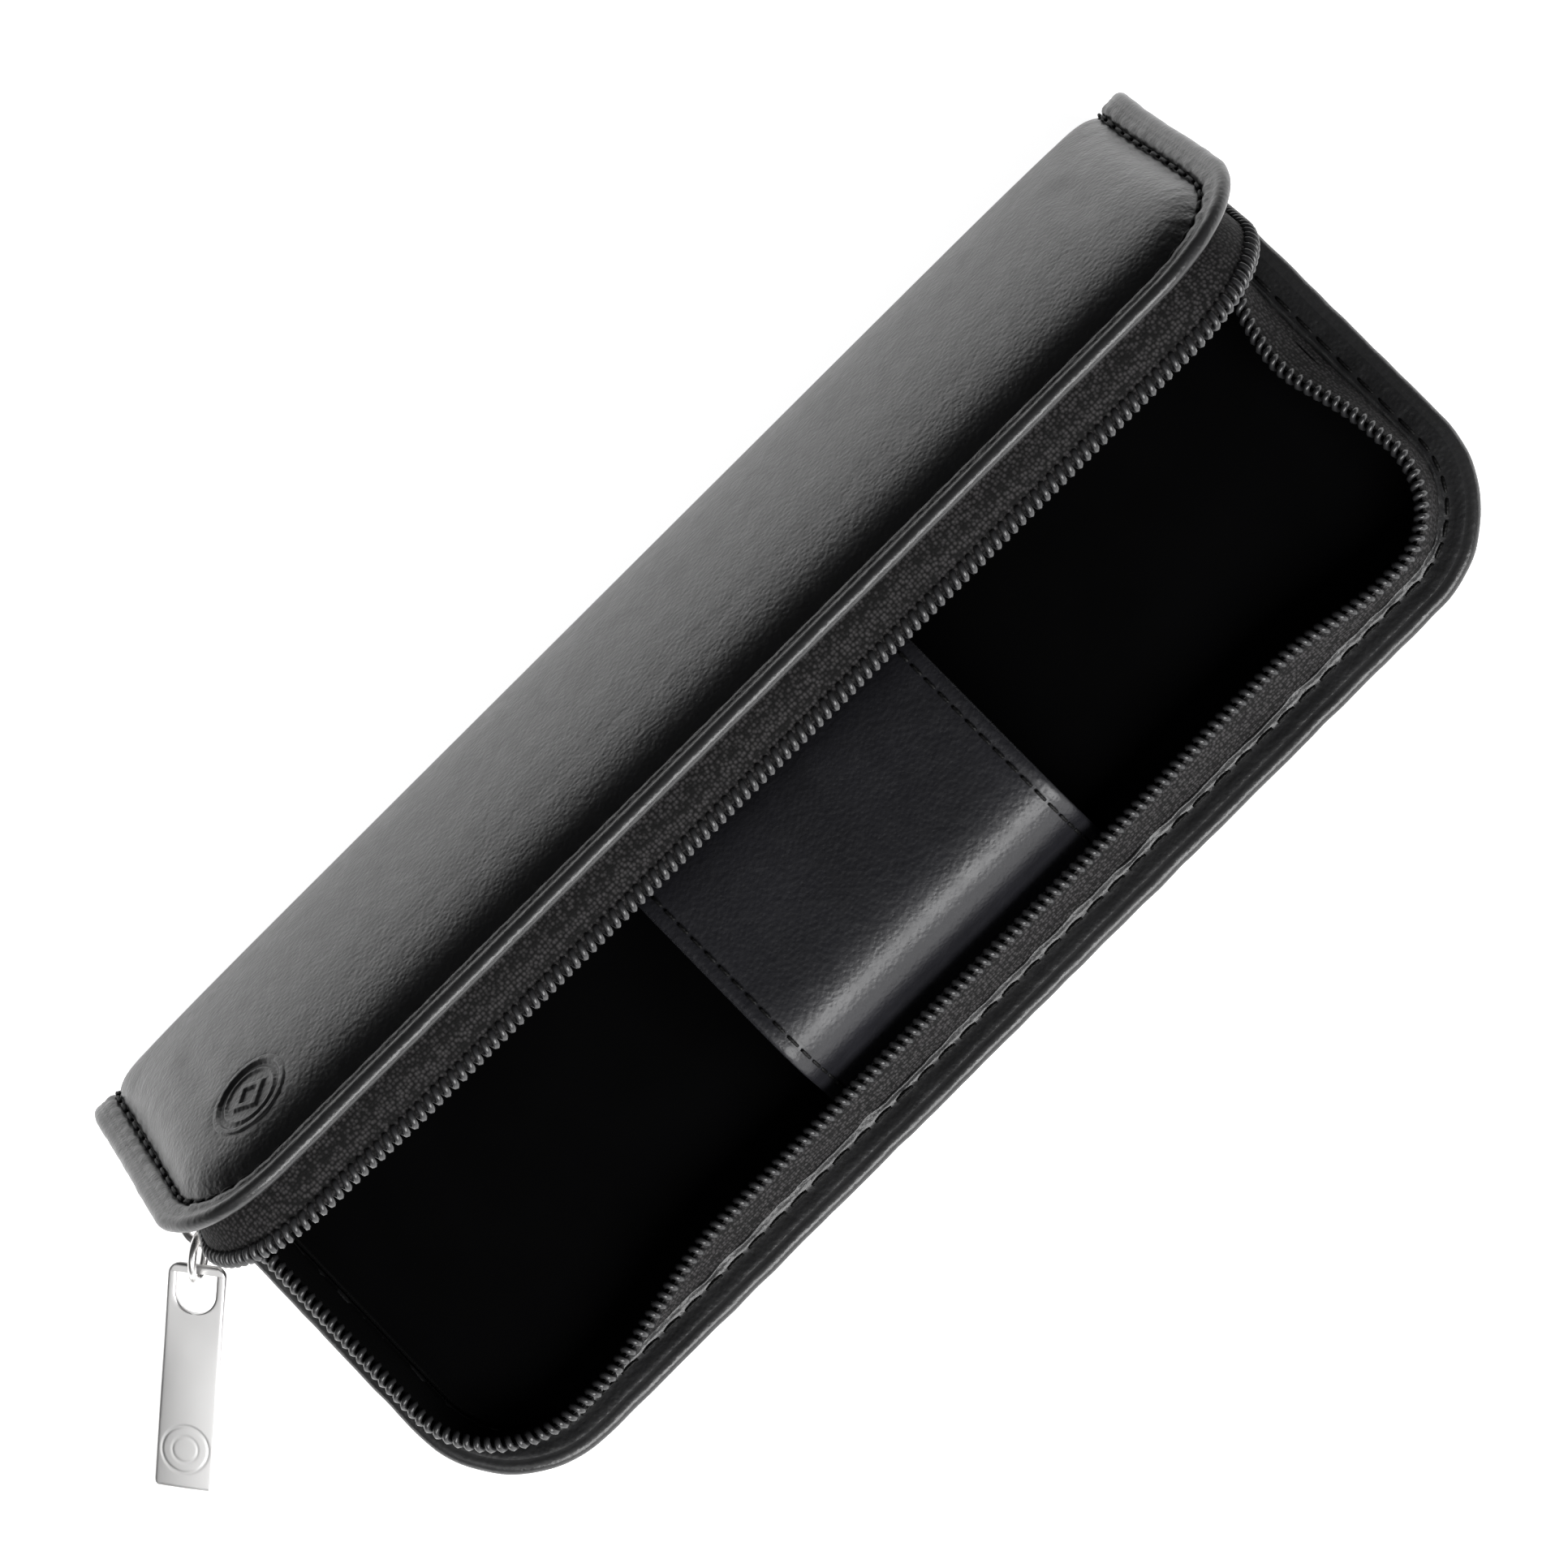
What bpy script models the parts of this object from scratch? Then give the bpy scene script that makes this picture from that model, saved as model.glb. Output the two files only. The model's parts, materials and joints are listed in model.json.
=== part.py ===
"""Leather zip case for two fountain pens, lying on its back cover with the lid standing open.

Frame, in metres: +X runs along the spine, -Y is the zip side, +Z is up. The origin is the centre of
the closed case's flat underside. Both halves are drawn as they lie in the closed case. The lid half is
the base half mirrored about the zip line, and it hangs on an empty on the spine's hinge line.
"""

import math

import bmesh
import bpy
from mathutils import Matrix, Vector

MM = 0.001

# Driving dimensions of the closed case, in millimetres
LENGTH = 165.0
DEPTH = 60.0
THICK = 21.0
CORNER = 16.0
OPEN_DEG = 55.0

# Leather cover: a raised panel inside a thinner stitched margin
LEATHER = 1.2
MARGIN = 3.8
STEP = 0.9
STEP_SLOPE = 0.6
GAP = 0.3
EDGE_INSET = 1.6
ROLL_HALF = 0.65
ROLL_HALF_HIGH = 0.95
THREAD_INSET = 2.9
THREAD_R = 0.2

SPINE_R = THICK / 2
BEND_Y = DEPTH / 2 - SPINE_R
ZIP_Z = THICK / 2
FRONT_Y = -DEPTH / 2
END_X = LENGTH / 2

# Zip: a woven tape wall with a nylon coil on its edge
WALL_INSET = 2.6
TAPE_THICK = 0.8
TAPE_FOOT = STEP + LEATHER + GAP
TAPE_TOP = 6.9
TAPE_END_Y = 26.3
COIL_THICK = 2.0
COIL_LOW = 7.2
COIL_HIGH = 9.5
COIL_END_Y = 25.2
STOP_HALF = 1.2
STOP_LONG = 1.0

# Flat layers inside each half
BOARD_INSET = 5.8
SPINE_LINING_INSET = 6.8
FOAM = 0.5
BOARD = 0.8
LINING = 0.6

# Angles round the spine where each half's cover, rolled edge and lining end
COVER_END_DEG = 88.5
ROLL_END_DEG = 87.0
SPINE_LINING_DEG = (84.0, 4.0)

# Slider, bail, ring and tab at the -X end
SLIDER_Y = 19.0
SLIDER_LONG = 10.0
SLIDER_HALF = 4.2
SLIDER_OUT = -82.6
SLIDER_IN = -77.2
PLATE = 1.0
LIP = 0.4
POST_HALF = 0.6
POST_START = 0.6
POST_END = 4.0
BAIL_R = 2.4
BAIL_HALF_DEG = 78
WIRE_R = 0.5
RING_R = 2.7
RING_OUT = 3.9
RING_TURN_DEG = 37.5
TAB_DROOP_DEG = 20.6
TAB_START = 1.0
TAB_BAR = 1.0
TAB_END = 27.6
TAB_WIDE = 7.0
TAB_THICK = 1.2
TAB_CORNER = 1.2
TAB_HOLE_END = 6.8
TAB_HOLE_WIDE = 4.8

# Pen band: an arched leather strap across the tray
BAND_HALF = 20.5
BAND_FRONT = -19.5
BAND_BACK = 12.8
BAND_TOP = 16.1
BAND_FOOT = 2.3
BAND_FOOT_Z = 3.5
BAND_SHOULDER = 6.2
BAND_SEAM = 1.8

CORNER_STEPS = 6
BEND_STEPS = 6
TAPE_END_STEPS = 5

BLACK = (0.012, 0.012, 0.013)
HINGE = Vector((0, DEPTH / 2, ZIP_Z)) * MM


def clear_scene():
    for obj in list(bpy.data.objects):
        bpy.data.objects.remove(obj)


def material(name, colour, roughness, metallic=0.0):
    made = bpy.data.materials.new(name)
    made.use_nodes = True
    shader = made.node_tree.nodes["Principled BSDF"]
    shader.inputs["Base Color"].default_value = (*colour, 1)
    shader.inputs["Roughness"].default_value = roughness
    shader.inputs["Metallic"].default_value = metallic
    return made


def add(name, mesh, look, parent=None):
    """Links a mesh or curve as an object with its material."""
    obj = bpy.data.objects.new(name, mesh)
    bpy.context.scene.collection.objects.link(obj)
    mesh.materials.append(look)
    obj.parent = parent
    return obj


def mesh_of(name, points, faces):
    """A closed mesh in metres from points in millimetres, its faces pointing out."""
    bm = bmesh.new()
    verts = [bm.verts.new(Vector(p) * MM) for p in points]
    for face in faces:
        bm.faces.new([verts[i] for i in face])
    bmesh.ops.recalc_face_normals(bm, faces=bm.faces)
    mesh = bpy.data.meshes.new(name)
    bm.to_mesh(mesh)
    bm.free()
    mesh.shade_smooth()
    mesh.set_sharp_from_angle(angle=math.radians(35))
    return mesh


def base_place(point):
    return point


def lid_place(point):
    """Mirrors a point of the base half into the lid half, measured from the hinge line."""
    x, y, z = point
    return (x, y - DEPTH / 2, THICK - z - ZIP_Z)


# Stations along half of the rim, from the spine to the middle of the zip side.


def bend_stations(last_deg, first_deg=0.0):
    """Stations round the spine, from last_deg down to first_deg above the flat panel's edge."""
    spread = [last_deg + (first_deg - last_deg) * i / BEND_STEPS for i in range(BEND_STEPS + 1)]
    return [("bend", math.radians(a)) for a in spread]


def corner_stations():
    return [("corner", math.radians(90 * i / CORNER_STEPS)) for i in range(CORNER_STEPS + 1)]


def rim_point(station, inset, height, side):
    """A point at an inset from the rim and a height above the outer face, on the +X or the -X side."""
    kind, at = station
    if kind == "bend":
        radius = SPINE_R - height
        return (side * (END_X - inset), BEND_Y + radius * math.sin(at), SPINE_R - radius * math.cos(at))
    if kind == "flat":
        return (side * (END_X - inset), at, height)
    radius = CORNER - inset
    x = END_X - CORNER + radius * math.cos(at)
    return (side * x, FRONT_Y + CORNER - radius * math.sin(at), height)


def sheet(name, stations, lower, upper, place):
    """A sheet filled from side to side, its rim section given from the rim inwards as (inset, height)."""
    chain = list(reversed(lower)) + list(upper)
    count = len(chain)
    points = [
        place(rim_point(station, inset, height, side))
        for station in stations
        for side in (1, -1)
        for inset, height in chain
    ]

    def at(row, side, k):
        return (2 * row + side) * count + k

    faces = []
    last = len(stations) - 1
    for row in range(last):
        for side in (0, 1):
            for k in range(count - 1):
                near, far = at(row, side, k), at(row + 1, side, k)
                faces.append([near, near + 1, far + 1, far])
        for k in (0, count - 1):
            faces.append([at(row, 0, k), at(row + 1, 0, k), at(row + 1, 1, k), at(row, 1, k)])
    for k in range(count - 1):
        faces.append([at(last, 0, k), at(last, 0, k + 1), at(last, 1, k + 1), at(last, 1, k)])
    faces.append([at(0, 0, k) for k in range(count)] + [at(0, 1, k) for k in reversed(range(count))])
    return mesh_of(name, points, faces)


def rim_sweep(name, stations, section, place):
    """Sweeps a closed section round the three zip sides. section(station) gives (inset, height) points."""
    rows = [(s, 1) for s in stations] + [(s, -1) for s in reversed(stations)]
    points = [place(rim_point(s, *p, side)) for s, side in rows for p in section(s)]
    count = len(section(stations[0]))
    faces = []
    for row in range(len(rows) - 1):
        for k in range(count):
            a, b = row * count + k, row * count + (k + 1) % count
            faces.append([a, b, b + count, a + count])
    faces.append(list(range(count)))
    faces.append([(len(rows) - 1) * count + k for k in range(count)])
    return mesh_of(name, points, faces)


def oval(inset, height, half_inset, half_height, sides=8):
    turns = [2 * math.pi * (k + 0.5) / sides for k in range(sides)]
    return [(inset + half_inset * math.cos(t), height + half_height * math.sin(t)) for t in turns]


def margin_inner_height(y):
    """Height at y of the margin's inner side, where the upright tape stands on it."""
    inner_radius = SPINE_R - TAPE_FOOT
    beyond = max(0.0, y - BEND_Y)
    return SPINE_R - math.sqrt(inner_radius**2 - beyond**2)


def tape_section(station):
    kind, at = station
    low = margin_inner_height(at) if kind == "flat" else TAPE_FOOT
    outer = WALL_INSET - TAPE_THICK / 2
    inner = WALL_INSET + TAPE_THICK / 2
    return [(outer, low), (inner, low), (inner, TAPE_TOP), (outer, TAPE_TOP)]


def coil_section(_station):
    middle = (COIL_LOW + COIL_HIGH) / 2
    return oval(WALL_INSET, middle, COIL_THICK / 2, (COIL_HIGH - COIL_LOW) / 2)


def tube(name, path, radius, look, parent=None, place=base_place):
    """A round bar along points in millimetres."""
    curve = bpy.data.curves.new(name, "CURVE")
    curve.dimensions = "3D"
    spline = curve.splines.new("POLY")
    spline.points.add(len(path) - 1)
    for point, target in zip(path, spline.points):
        target.co = (*(Vector(place(point)) * MM), 1)
    curve.bevel_depth = radius * MM
    curve.bevel_resolution = 2
    curve.use_fill_caps = True
    return add(name, curve, look, parent)


def box(low, high):
    """Points and faces of a block between two corners."""
    points = [(x, y, z) for x in (low[0], high[0]) for y in (low[1], high[1]) for z in (low[2], high[2])]
    faces = [[0, 1, 3, 2], [4, 6, 7, 5], [0, 4, 5, 1], [2, 3, 7, 6], [0, 2, 6, 4], [1, 5, 7, 3]]
    return points, faces


def extruded(name, outline, low, high, point_of):
    """A prism on an outline of (a, b) points, from low to high. point_of(a, b, c) places a point."""
    count = len(outline)
    points = [point_of(a, b, c) for c in (low, high) for a, b in outline]
    faces = [list(range(count)), [count + k for k in range(count)]]
    faces += [[k, (k + 1) % count, count + (k + 1) % count, count + k] for k in range(count)]
    return mesh_of(name, points, faces)


def combine(obj, other, operation):
    """Joins or cuts obj with another object, which is then only a helper."""
    other.hide_render = True
    other.display_type = "WIRE"
    modifier = obj.modifiers.new(operation.lower(), "BOOLEAN")
    modifier.operation = operation
    modifier.object = other


def half_case(prefix, place, parent, looks, padded):
    """One half of the case: its leather cover, rolled edge, edge thread, board, lining, tape and coil."""
    leather, lining, tape, coil, thread, board, foam = looks
    cover_rows = bend_stations(COVER_END_DEG) + corner_stations()
    step_at = MARGIN + LEATHER
    lower = [(EDGE_INSET, STEP), (MARGIN - STEP_SLOPE / 2, STEP), (MARGIN + STEP_SLOPE / 2, 0.0)]
    upper = [(EDGE_INSET, STEP + LEATHER), (step_at, STEP + LEATHER), (step_at + STEP_SLOPE / 2, LEATHER)]
    add(f"{prefix}_cover", sheet(f"{prefix}_cover", cover_rows, lower, upper, place), leather, parent)

    def roll_section(_station):
        return oval(ROLL_HALF, STEP + LEATHER / 2, ROLL_HALF, ROLL_HALF_HIGH)

    roll_rows = bend_stations(ROLL_END_DEG) + corner_stations()
    roll = rim_sweep(f"{prefix}_edge_roll", roll_rows, roll_section, place)
    add(f"{prefix}_edge_roll", roll, leather, parent)
    thread_path = [(s, 1) for s in roll_rows] + [(s, -1) for s in reversed(roll_rows)]
    thread_points = [rim_point(s, THREAD_INSET, STEP - GAP - THREAD_R, side) for s, side in thread_path]
    tube(f"{prefix}_edge_thread", thread_points, THREAD_R, thread, parent, place)

    inner_rows = [("flat", BEND_Y - 0.5)] + corner_stations()

    def layer(name, low, high, look):
        mesh = sheet(f"{prefix}_{name}", inner_rows, [(BOARD_INSET, low)], [(BOARD_INSET, high)], place)
        add(f"{prefix}_{name}", mesh, look, parent)

    level = LEATHER + GAP
    if padded:
        layer("foam", level, level + FOAM, foam)
        level += FOAM + GAP
    layer("board", level, level + BOARD, board)
    level += BOARD + GAP
    layer("lining", level, level + LINING, lining)
    spine_low = LEATHER + GAP
    spine_rows = bend_stations(*SPINE_LINING_DEG)
    spine_section = [(SPINE_LINING_INSET, spine_low)], [(SPINE_LINING_INSET, spine_low + LINING)]
    name = f"{prefix}_spine_lining"
    add(name, sheet(name, spine_rows, *spine_section, place), lining, parent)

    end_steps = [k / TAPE_END_STEPS for k in range(TAPE_END_STEPS + 1)]
    tape_rows = [("flat", TAPE_END_Y + (BEND_Y - TAPE_END_Y) * t) for t in end_steps] + corner_stations()
    add(f"{prefix}_zip_tape", rim_sweep(f"{prefix}_zip_tape", tape_rows, tape_section, place), tape, parent)
    coil_rows = [("flat", COIL_END_Y)] + corner_stations()
    add(f"{prefix}_zip_coil", rim_sweep(f"{prefix}_zip_coil", coil_rows, coil_section, place), coil, parent)


def zip_stop(name, side, place, look, parent):
    """A metal clamp on the end of one coil."""
    middle = side * (END_X - WALL_INSET)
    start = COIL_END_Y + GAP
    low = (middle - STOP_HALF, start, COIL_LOW + THREAD_R)
    high = (middle + STOP_HALF, start + STOP_LONG, COIL_HIGH)
    points, faces = box(low, high)
    add(name, mesh_of(name, [place(p) for p in points], faces), look, parent)


def band_path(offset):
    """The band's profile in (y, z), offset outwards from its outer face, from front foot to back foot."""
    radius = BAND_SHOULDER + offset
    front = (BAND_FRONT + BAND_SHOULDER, BAND_TOP - BAND_SHOULDER)
    back = (BAND_BACK - BAND_SHOULDER, BAND_TOP - BAND_SHOULDER)
    foot_z = BAND_FOOT_Z + LEATHER + offset
    path = [(BAND_FRONT - BAND_FOOT, foot_z), (BAND_FRONT - offset, foot_z)]
    for centre, first in ((front, 180), (back, 90)):
        for k in range(CORNER_STEPS + 1):
            turn = math.radians(first - 90 * k / CORNER_STEPS)
            path.append((centre[0] + radius * math.cos(turn), centre[1] + radius * math.sin(turn)))
    return path + [(BAND_BACK + offset, foot_z), (BAND_BACK + BAND_FOOT, foot_z)]


def pen_band(leather, thread):
    outline = band_path(0) + list(reversed(band_path(-LEATHER)))
    mesh = extruded("pen_band", outline, -BAND_HALF, BAND_HALF, lambda a, b, c: (c, a, b))
    add("pen_band", mesh, leather)
    thread_path = band_path(GAP + THREAD_R)
    seam_x = BAND_HALF - BAND_SEAM
    for name, x in (("band_thread_left", -seam_x), ("band_thread_right", seam_x)):
        tube(name, [(x, y, z) for y, z in thread_path], THREAD_R, thread)


def slider(metal):
    """Two plates astride the coils, joined by the post that parts them, and the bail for the ring."""
    anchor = bpy.data.objects.new("slider_travel", None)
    bpy.context.scene.collection.objects.link(anchor)
    anchor.location = Vector((SLIDER_OUT, SLIDER_Y, ZIP_Z)) * MM
    half = SLIDER_LONG / 2
    inward = SLIDER_IN - SLIDER_OUT

    def plate(name, outer_x, inner_x, lip_x):
        outline = [
            (outer_x, -SLIDER_HALF),
            (lip_x, -SLIDER_HALF),
            (lip_x, PLATE - SLIDER_HALF),
            (inner_x, PLATE - SLIDER_HALF),
            (inner_x, SLIDER_HALF - PLATE),
            (lip_x, SLIDER_HALF - PLATE),
            (lip_x, SLIDER_HALF),
            (outer_x, SLIDER_HALF),
        ]
        mesh = extruded(name, outline, -half, half, lambda a, b, c: (a, c, b))
        return add(name, mesh, metal, anchor)

    body = plate("slider_body", 0.0, PLATE, PLATE + LIP)
    inner = plate("slider_inner_plate", inward, inward - PLATE, inward - PLATE - LIP)
    low = (PLATE / 2, POST_START - half, -POST_HALF)
    high = (inward - PLATE / 2, POST_END - half, POST_HALF)
    points, faces = box(low, high)
    post = add("slider_post", mesh_of("slider_post", points, faces), metal, anchor)
    combine(body, post, "UNION")
    combine(body, inner, "UNION")
    turns = [math.radians(BAIL_HALF_DEG * k / 6) for k in range(-6, 7)]
    arc = [(-BAIL_R * math.cos(t), BAIL_R * math.sin(t), 0) for t in turns]
    tube("slider_bail", arc, WIRE_R, metal, anchor)
    return anchor


def ring_and_tab(metal, anchor):
    """The ring turns on the bail about an upright axis, and the tab swings on the ring about a level one."""
    turn = bpy.data.objects.new("link_turn", None)
    swing = bpy.data.objects.new("tab_swing", None)
    for empty in (turn, swing):
        bpy.context.scene.collection.objects.link(empty)
    turn.parent = anchor
    turn.rotation_euler.z = math.radians(180 + RING_TURN_DEG)

    bm = bmesh.new()
    around, sides = 24, 8
    bmesh.ops.create_circle(bm, segments=sides, radius=WIRE_R * MM)
    bmesh.ops.translate(bm, verts=bm.verts, vec=(RING_R * MM, 0, 0))
    upright = Matrix.Rotation(math.pi / 2, 3, "X")
    bmesh.ops.rotate(bm, verts=bm.verts, cent=(RING_R * MM, 0, 0), matrix=upright)
    bmesh.ops.spin(
        bm, geom=bm.verts[:] + bm.edges[:], cent=(0, 0, 0), axis=(0, 0, 1), angle=2 * math.pi, steps=around
    )
    bmesh.ops.remove_doubles(bm, verts=bm.verts, dist=1e-6)
    bmesh.ops.rotate(bm, verts=bm.verts, cent=(0, 0, 0), matrix=upright)
    bmesh.ops.recalc_face_normals(bm, faces=bm.faces)
    mesh = bpy.data.meshes.new("pull_ring")
    bm.to_mesh(mesh)
    bm.free()
    mesh.shade_smooth()
    ring = add("pull_ring", mesh, metal, turn)
    ring.location.x = RING_OUT * MM

    swing.parent = turn
    swing.location.x = RING_OUT * MM
    swing.rotation_euler.y = math.radians(TAB_DROOP_DEG)
    half = TAB_WIDE / 2
    cut = TAB_CORNER
    outline = [
        (TAB_START, cut - half),
        (TAB_START + cut, -half),
        (TAB_END - cut, -half),
        (TAB_END, cut - half),
        (TAB_END, half - cut),
        (TAB_END - cut, half),
        (TAB_START + cut, half),
        (TAB_START, half - cut),
    ]

    def flat(a, b, c):
        return (a, b, c)

    tab = add("pull_tab", extruded("pull_tab", outline, -TAB_THICK / 2, TAB_THICK / 2, flat), metal, swing)
    hole_half = TAB_HOLE_WIDE / 2
    hole_start = TAB_START + TAB_BAR
    turns = [math.radians(90 - 180 * k / 8) for k in range(9)]
    centre = TAB_HOLE_END - hole_half
    hole = [(hole_start, -hole_half), (hole_start, hole_half)]
    hole += [(centre + hole_half * math.cos(t), hole_half * math.sin(t)) for t in turns]
    cutter = add("pull_tab_hole", extruded("pull_tab_hole", hole, -TAB_THICK, TAB_THICK, flat), metal, swing)
    combine(tab, cutter, "DIFFERENCE")


def build():
    clear_scene()
    leather = material("leather", BLACK, 0.45)
    lining = material("lining", BLACK, 0.95)
    tape = material("zip_tape", BLACK, 0.9)
    coil = material("zip_coil", (0.02, 0.02, 0.021), 0.35)
    thread = material("thread", BLACK, 0.7)
    board = material("board", (0.35, 0.3, 0.24), 0.9)
    foam = material("foam", (0.5, 0.5, 0.48), 0.95)
    metal = material("pull_metal", (0.62, 0.61, 0.6), 0.28, 1.0)
    looks = (leather, lining, tape, coil, thread, board, foam)

    hinge = bpy.data.objects.new("lid_hinge", None)
    bpy.context.scene.collection.objects.link(hinge)
    hinge.location = HINGE
    hinge.rotation_euler.x = -math.radians(OPEN_DEG)

    half_case("base", base_place, None, looks, padded=False)
    half_case("lid", lid_place, hinge, looks, padded=True)
    zip_stop("zip_bottom_stop", -1, base_place, metal, None)
    zip_stop("base_top_stop", 1, base_place, metal, None)
    zip_stop("lid_top_stop", 1, lid_place, metal, hinge)
    pen_band(leather, thread)
    ring_and_tab(metal, slider(metal))


build()
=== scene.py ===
"""Looks of the leather pen case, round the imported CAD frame. Lengths are in millimetres until mesh_object."""

import json
import math

import bmesh
import bpy
import numpy as np
from mathutils import Matrix, Vector, noise


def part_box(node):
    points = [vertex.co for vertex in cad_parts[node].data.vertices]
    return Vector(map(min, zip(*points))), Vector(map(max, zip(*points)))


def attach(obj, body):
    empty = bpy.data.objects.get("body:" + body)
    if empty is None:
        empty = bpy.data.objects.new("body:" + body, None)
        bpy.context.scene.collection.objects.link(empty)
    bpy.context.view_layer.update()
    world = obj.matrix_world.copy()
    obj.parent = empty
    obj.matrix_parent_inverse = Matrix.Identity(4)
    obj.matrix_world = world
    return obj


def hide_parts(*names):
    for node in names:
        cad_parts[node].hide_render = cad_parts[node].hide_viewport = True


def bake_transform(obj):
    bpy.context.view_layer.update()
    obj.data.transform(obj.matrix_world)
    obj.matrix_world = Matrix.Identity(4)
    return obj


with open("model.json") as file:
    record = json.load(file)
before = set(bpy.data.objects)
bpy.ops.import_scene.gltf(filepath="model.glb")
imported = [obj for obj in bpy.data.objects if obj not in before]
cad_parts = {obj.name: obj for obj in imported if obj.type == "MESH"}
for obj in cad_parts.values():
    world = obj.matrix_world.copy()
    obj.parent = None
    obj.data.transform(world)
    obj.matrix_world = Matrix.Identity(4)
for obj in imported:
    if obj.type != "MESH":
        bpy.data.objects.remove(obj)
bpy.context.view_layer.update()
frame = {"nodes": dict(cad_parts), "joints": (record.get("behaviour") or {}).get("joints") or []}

MM = 0.001
UP = np.array((0.0, 0.0, 1.0))
joints = {joint["name"]: joint for joint in frame["joints"]}
HINGE_Y, HINGE_Z = (v / MM for v in joints["lid_hinge"]["pos_m"][1:])
OPEN = math.radians(-joints["lid_hinge"]["range_deg"][0])

# The turned edge stands RIM out from the CAD cover, and GRID is the usual distance between points.
RIM = 1.6
GRID = 0.8
END_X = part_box("base_cover")[1].x / MM + RIM
FRONT_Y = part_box("base_cover")[0].y / MM - RIM
BEND_Y = HINGE_Y - HINGE_Z
FLAT = BEND_Y - FRONT_Y
CORNER = 16.0
STITCH_INSET = 3.8
STITCH_PITCH = 3.4

TAPE_END_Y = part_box("base_zip_tape")[1].y / MM
COIL_LOW, COIL_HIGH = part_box("base_zip_coil")
COIL_END_Y = COIL_HIGH.y / MM
COIL_MIDDLE = (COIL_LOW.z + COIL_HIGH.z) / 2 / MM
WALL_INSET = END_X - COIL_HIGH.x / MM + 1.0
LINING_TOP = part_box("base_lining")[1].z / MM + 0.15


# Small helpers


def smooth(value, low, high):
    """From 0 at low to 1 at high, with soft ends."""
    t = np.clip((np.asarray(value, float) - low) / (high - low), 0, 1)
    return t * t * (3 - 2 * t)


def bell(value, middle, width):
    """1 at the middle, fading to nothing on both sides of it."""
    return np.exp(-(((value - middle) / width) ** 2))


def unit(vectors):
    """Each vector of an (n, k) array made one long."""
    return vectors / np.maximum(np.linalg.norm(vectors, axis=1), 1e-9)[:, None]


def run_along(line):
    """Distance along a line at each of its points."""
    return np.concatenate([[0], np.cumsum(np.linalg.norm(np.diff(line, axis=0), axis=1))])


def noise_over(x, y, scale, seed):
    """Smooth noise from about -1 to 1 at each flat place."""
    offset = Vector((seed, seed * 1.7, -seed))
    return np.array([noise.noise(Vector(p) / scale + offset) for p in np.stack([x, y, 0 * x], 1)])


# The case's profile, from the base's zip edge round the spine to the lid's zip edge, as w


def lid_rest(y, z):
    """Where a (y, z) of the closed lid stands at rest."""
    dy, dz = y - HINGE_Y, z - HINGE_Z
    cos, sin = math.cos(OPEN), math.sin(OPEN)
    return HINGE_Y + dy * cos + dz * sin, HINGE_Z - dy * sin + dz * cos


SPINE_HANDLE = 13.0
SPINE_POINTS = 200


def spine_curve():
    """The spine's smooth outer curve at rest: length along it, (y, z) and direction at each point."""
    start = np.array((BEND_Y, 0.0))
    end = np.array(lid_rest(BEND_Y, 2 * HINGE_Z))
    leave = np.array((1.0, 0.0))
    arrive = np.array((-math.cos(OPEN), math.sin(OPEN)))
    t = np.linspace(0, 1, SPINE_POINTS)[:, None]
    p = [start, start + SPINE_HANDLE * leave, end - SPINE_HANDLE * arrive, end]
    curve = (1 - t) ** 3 * p[0] + 3 * t * (1 - t) ** 2 * p[1] + 3 * t**2 * (1 - t) * p[2] + t**3 * p[3]
    tangent = unit(np.gradient(curve, axis=0))
    tangent[0], tangent[-1] = leave, arrive
    return run_along(curve), curve, tangent


SPINE_LENGTH, SPINE_CURVE, SPINE_TANGENT = spine_curve()
SPINE = SPINE_LENGTH[-1]
TOTAL = 2 * FLAT + SPINE

# The lid is a little longer than the base toward its free corner at +X.
FLARE = 1.0
FLARE_FROM_X = 30.0


def skin(x, w, h):
    """Points of the case at x, w along the profile and h inwards from its outer face, as an (n, 3) array."""
    x, w, h = (np.asarray(v, float) for v in np.broadcast_arrays(x, w, h))
    at = np.clip(w - FLAT, 0, SPINE)
    y, z = (np.interp(at, SPINE_LENGTH, values) for values in SPINE_CURVE.T)
    ty, tz = (np.interp(at, SPINE_LENGTH, values) for values in SPINE_TANGENT.T)
    beyond = np.where(w < FLAT, w - FLAT, np.where(w > FLAT + SPINE, w - FLAT - SPINE, 0))
    x = x + FLARE * smooth(w, FLAT + SPINE, TOTAL - CORNER) * smooth(x, FLARE_FROM_X, END_X)
    return np.stack([x, y + beyond * ty - h * tz, z + beyond * tz + h * ty], axis=-1)


def half_point(body, x, y, h):
    """Points of one rigid half: x and closed y, and h inwards from that half's flat outer face."""
    x, y, z = (np.asarray(v, float) for v in np.broadcast_arrays(x, y, h))
    if body == "lid":
        y, z = lid_rest(y, 2 * HINGE_Z - z)
    return np.stack([x, y, z], axis=-1)


# Objects


def mesh_object(name, points, faces, look):
    """A smooth-shaded object from points in millimetres, with one material or a list of them."""
    mesh = bpy.data.meshes.new(name)
    mesh.from_pydata((np.asarray(points, float) * MM).tolist(), [], faces)
    mesh.validate()
    mesh.update()
    mesh.shade_smooth()
    obj = bpy.data.objects.new(name, mesh)
    bpy.context.scene.collection.objects.link(obj)
    for material in look if isinstance(look, list) else [look]:
        mesh.materials.append(material)
    return obj


def grid_faces(rows, columns, around=False, start=0):
    """Quads of a rows x columns grid of points, closed along the columns if around."""
    faces = []
    for i in range(rows - 1):
        for j in range(columns if around else columns - 1):
            k = (j + 1) % columns
            a, b = start + i * columns + j, start + i * columns + k
            faces.append((a, b, b + columns, a + columns))
    return faces


def end_faces(rows, columns):
    """The two flat ends of a closed rows x columns grid."""
    return [tuple(reversed(range(columns))), tuple((rows - 1) * columns + j for j in range(columns))]


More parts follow.
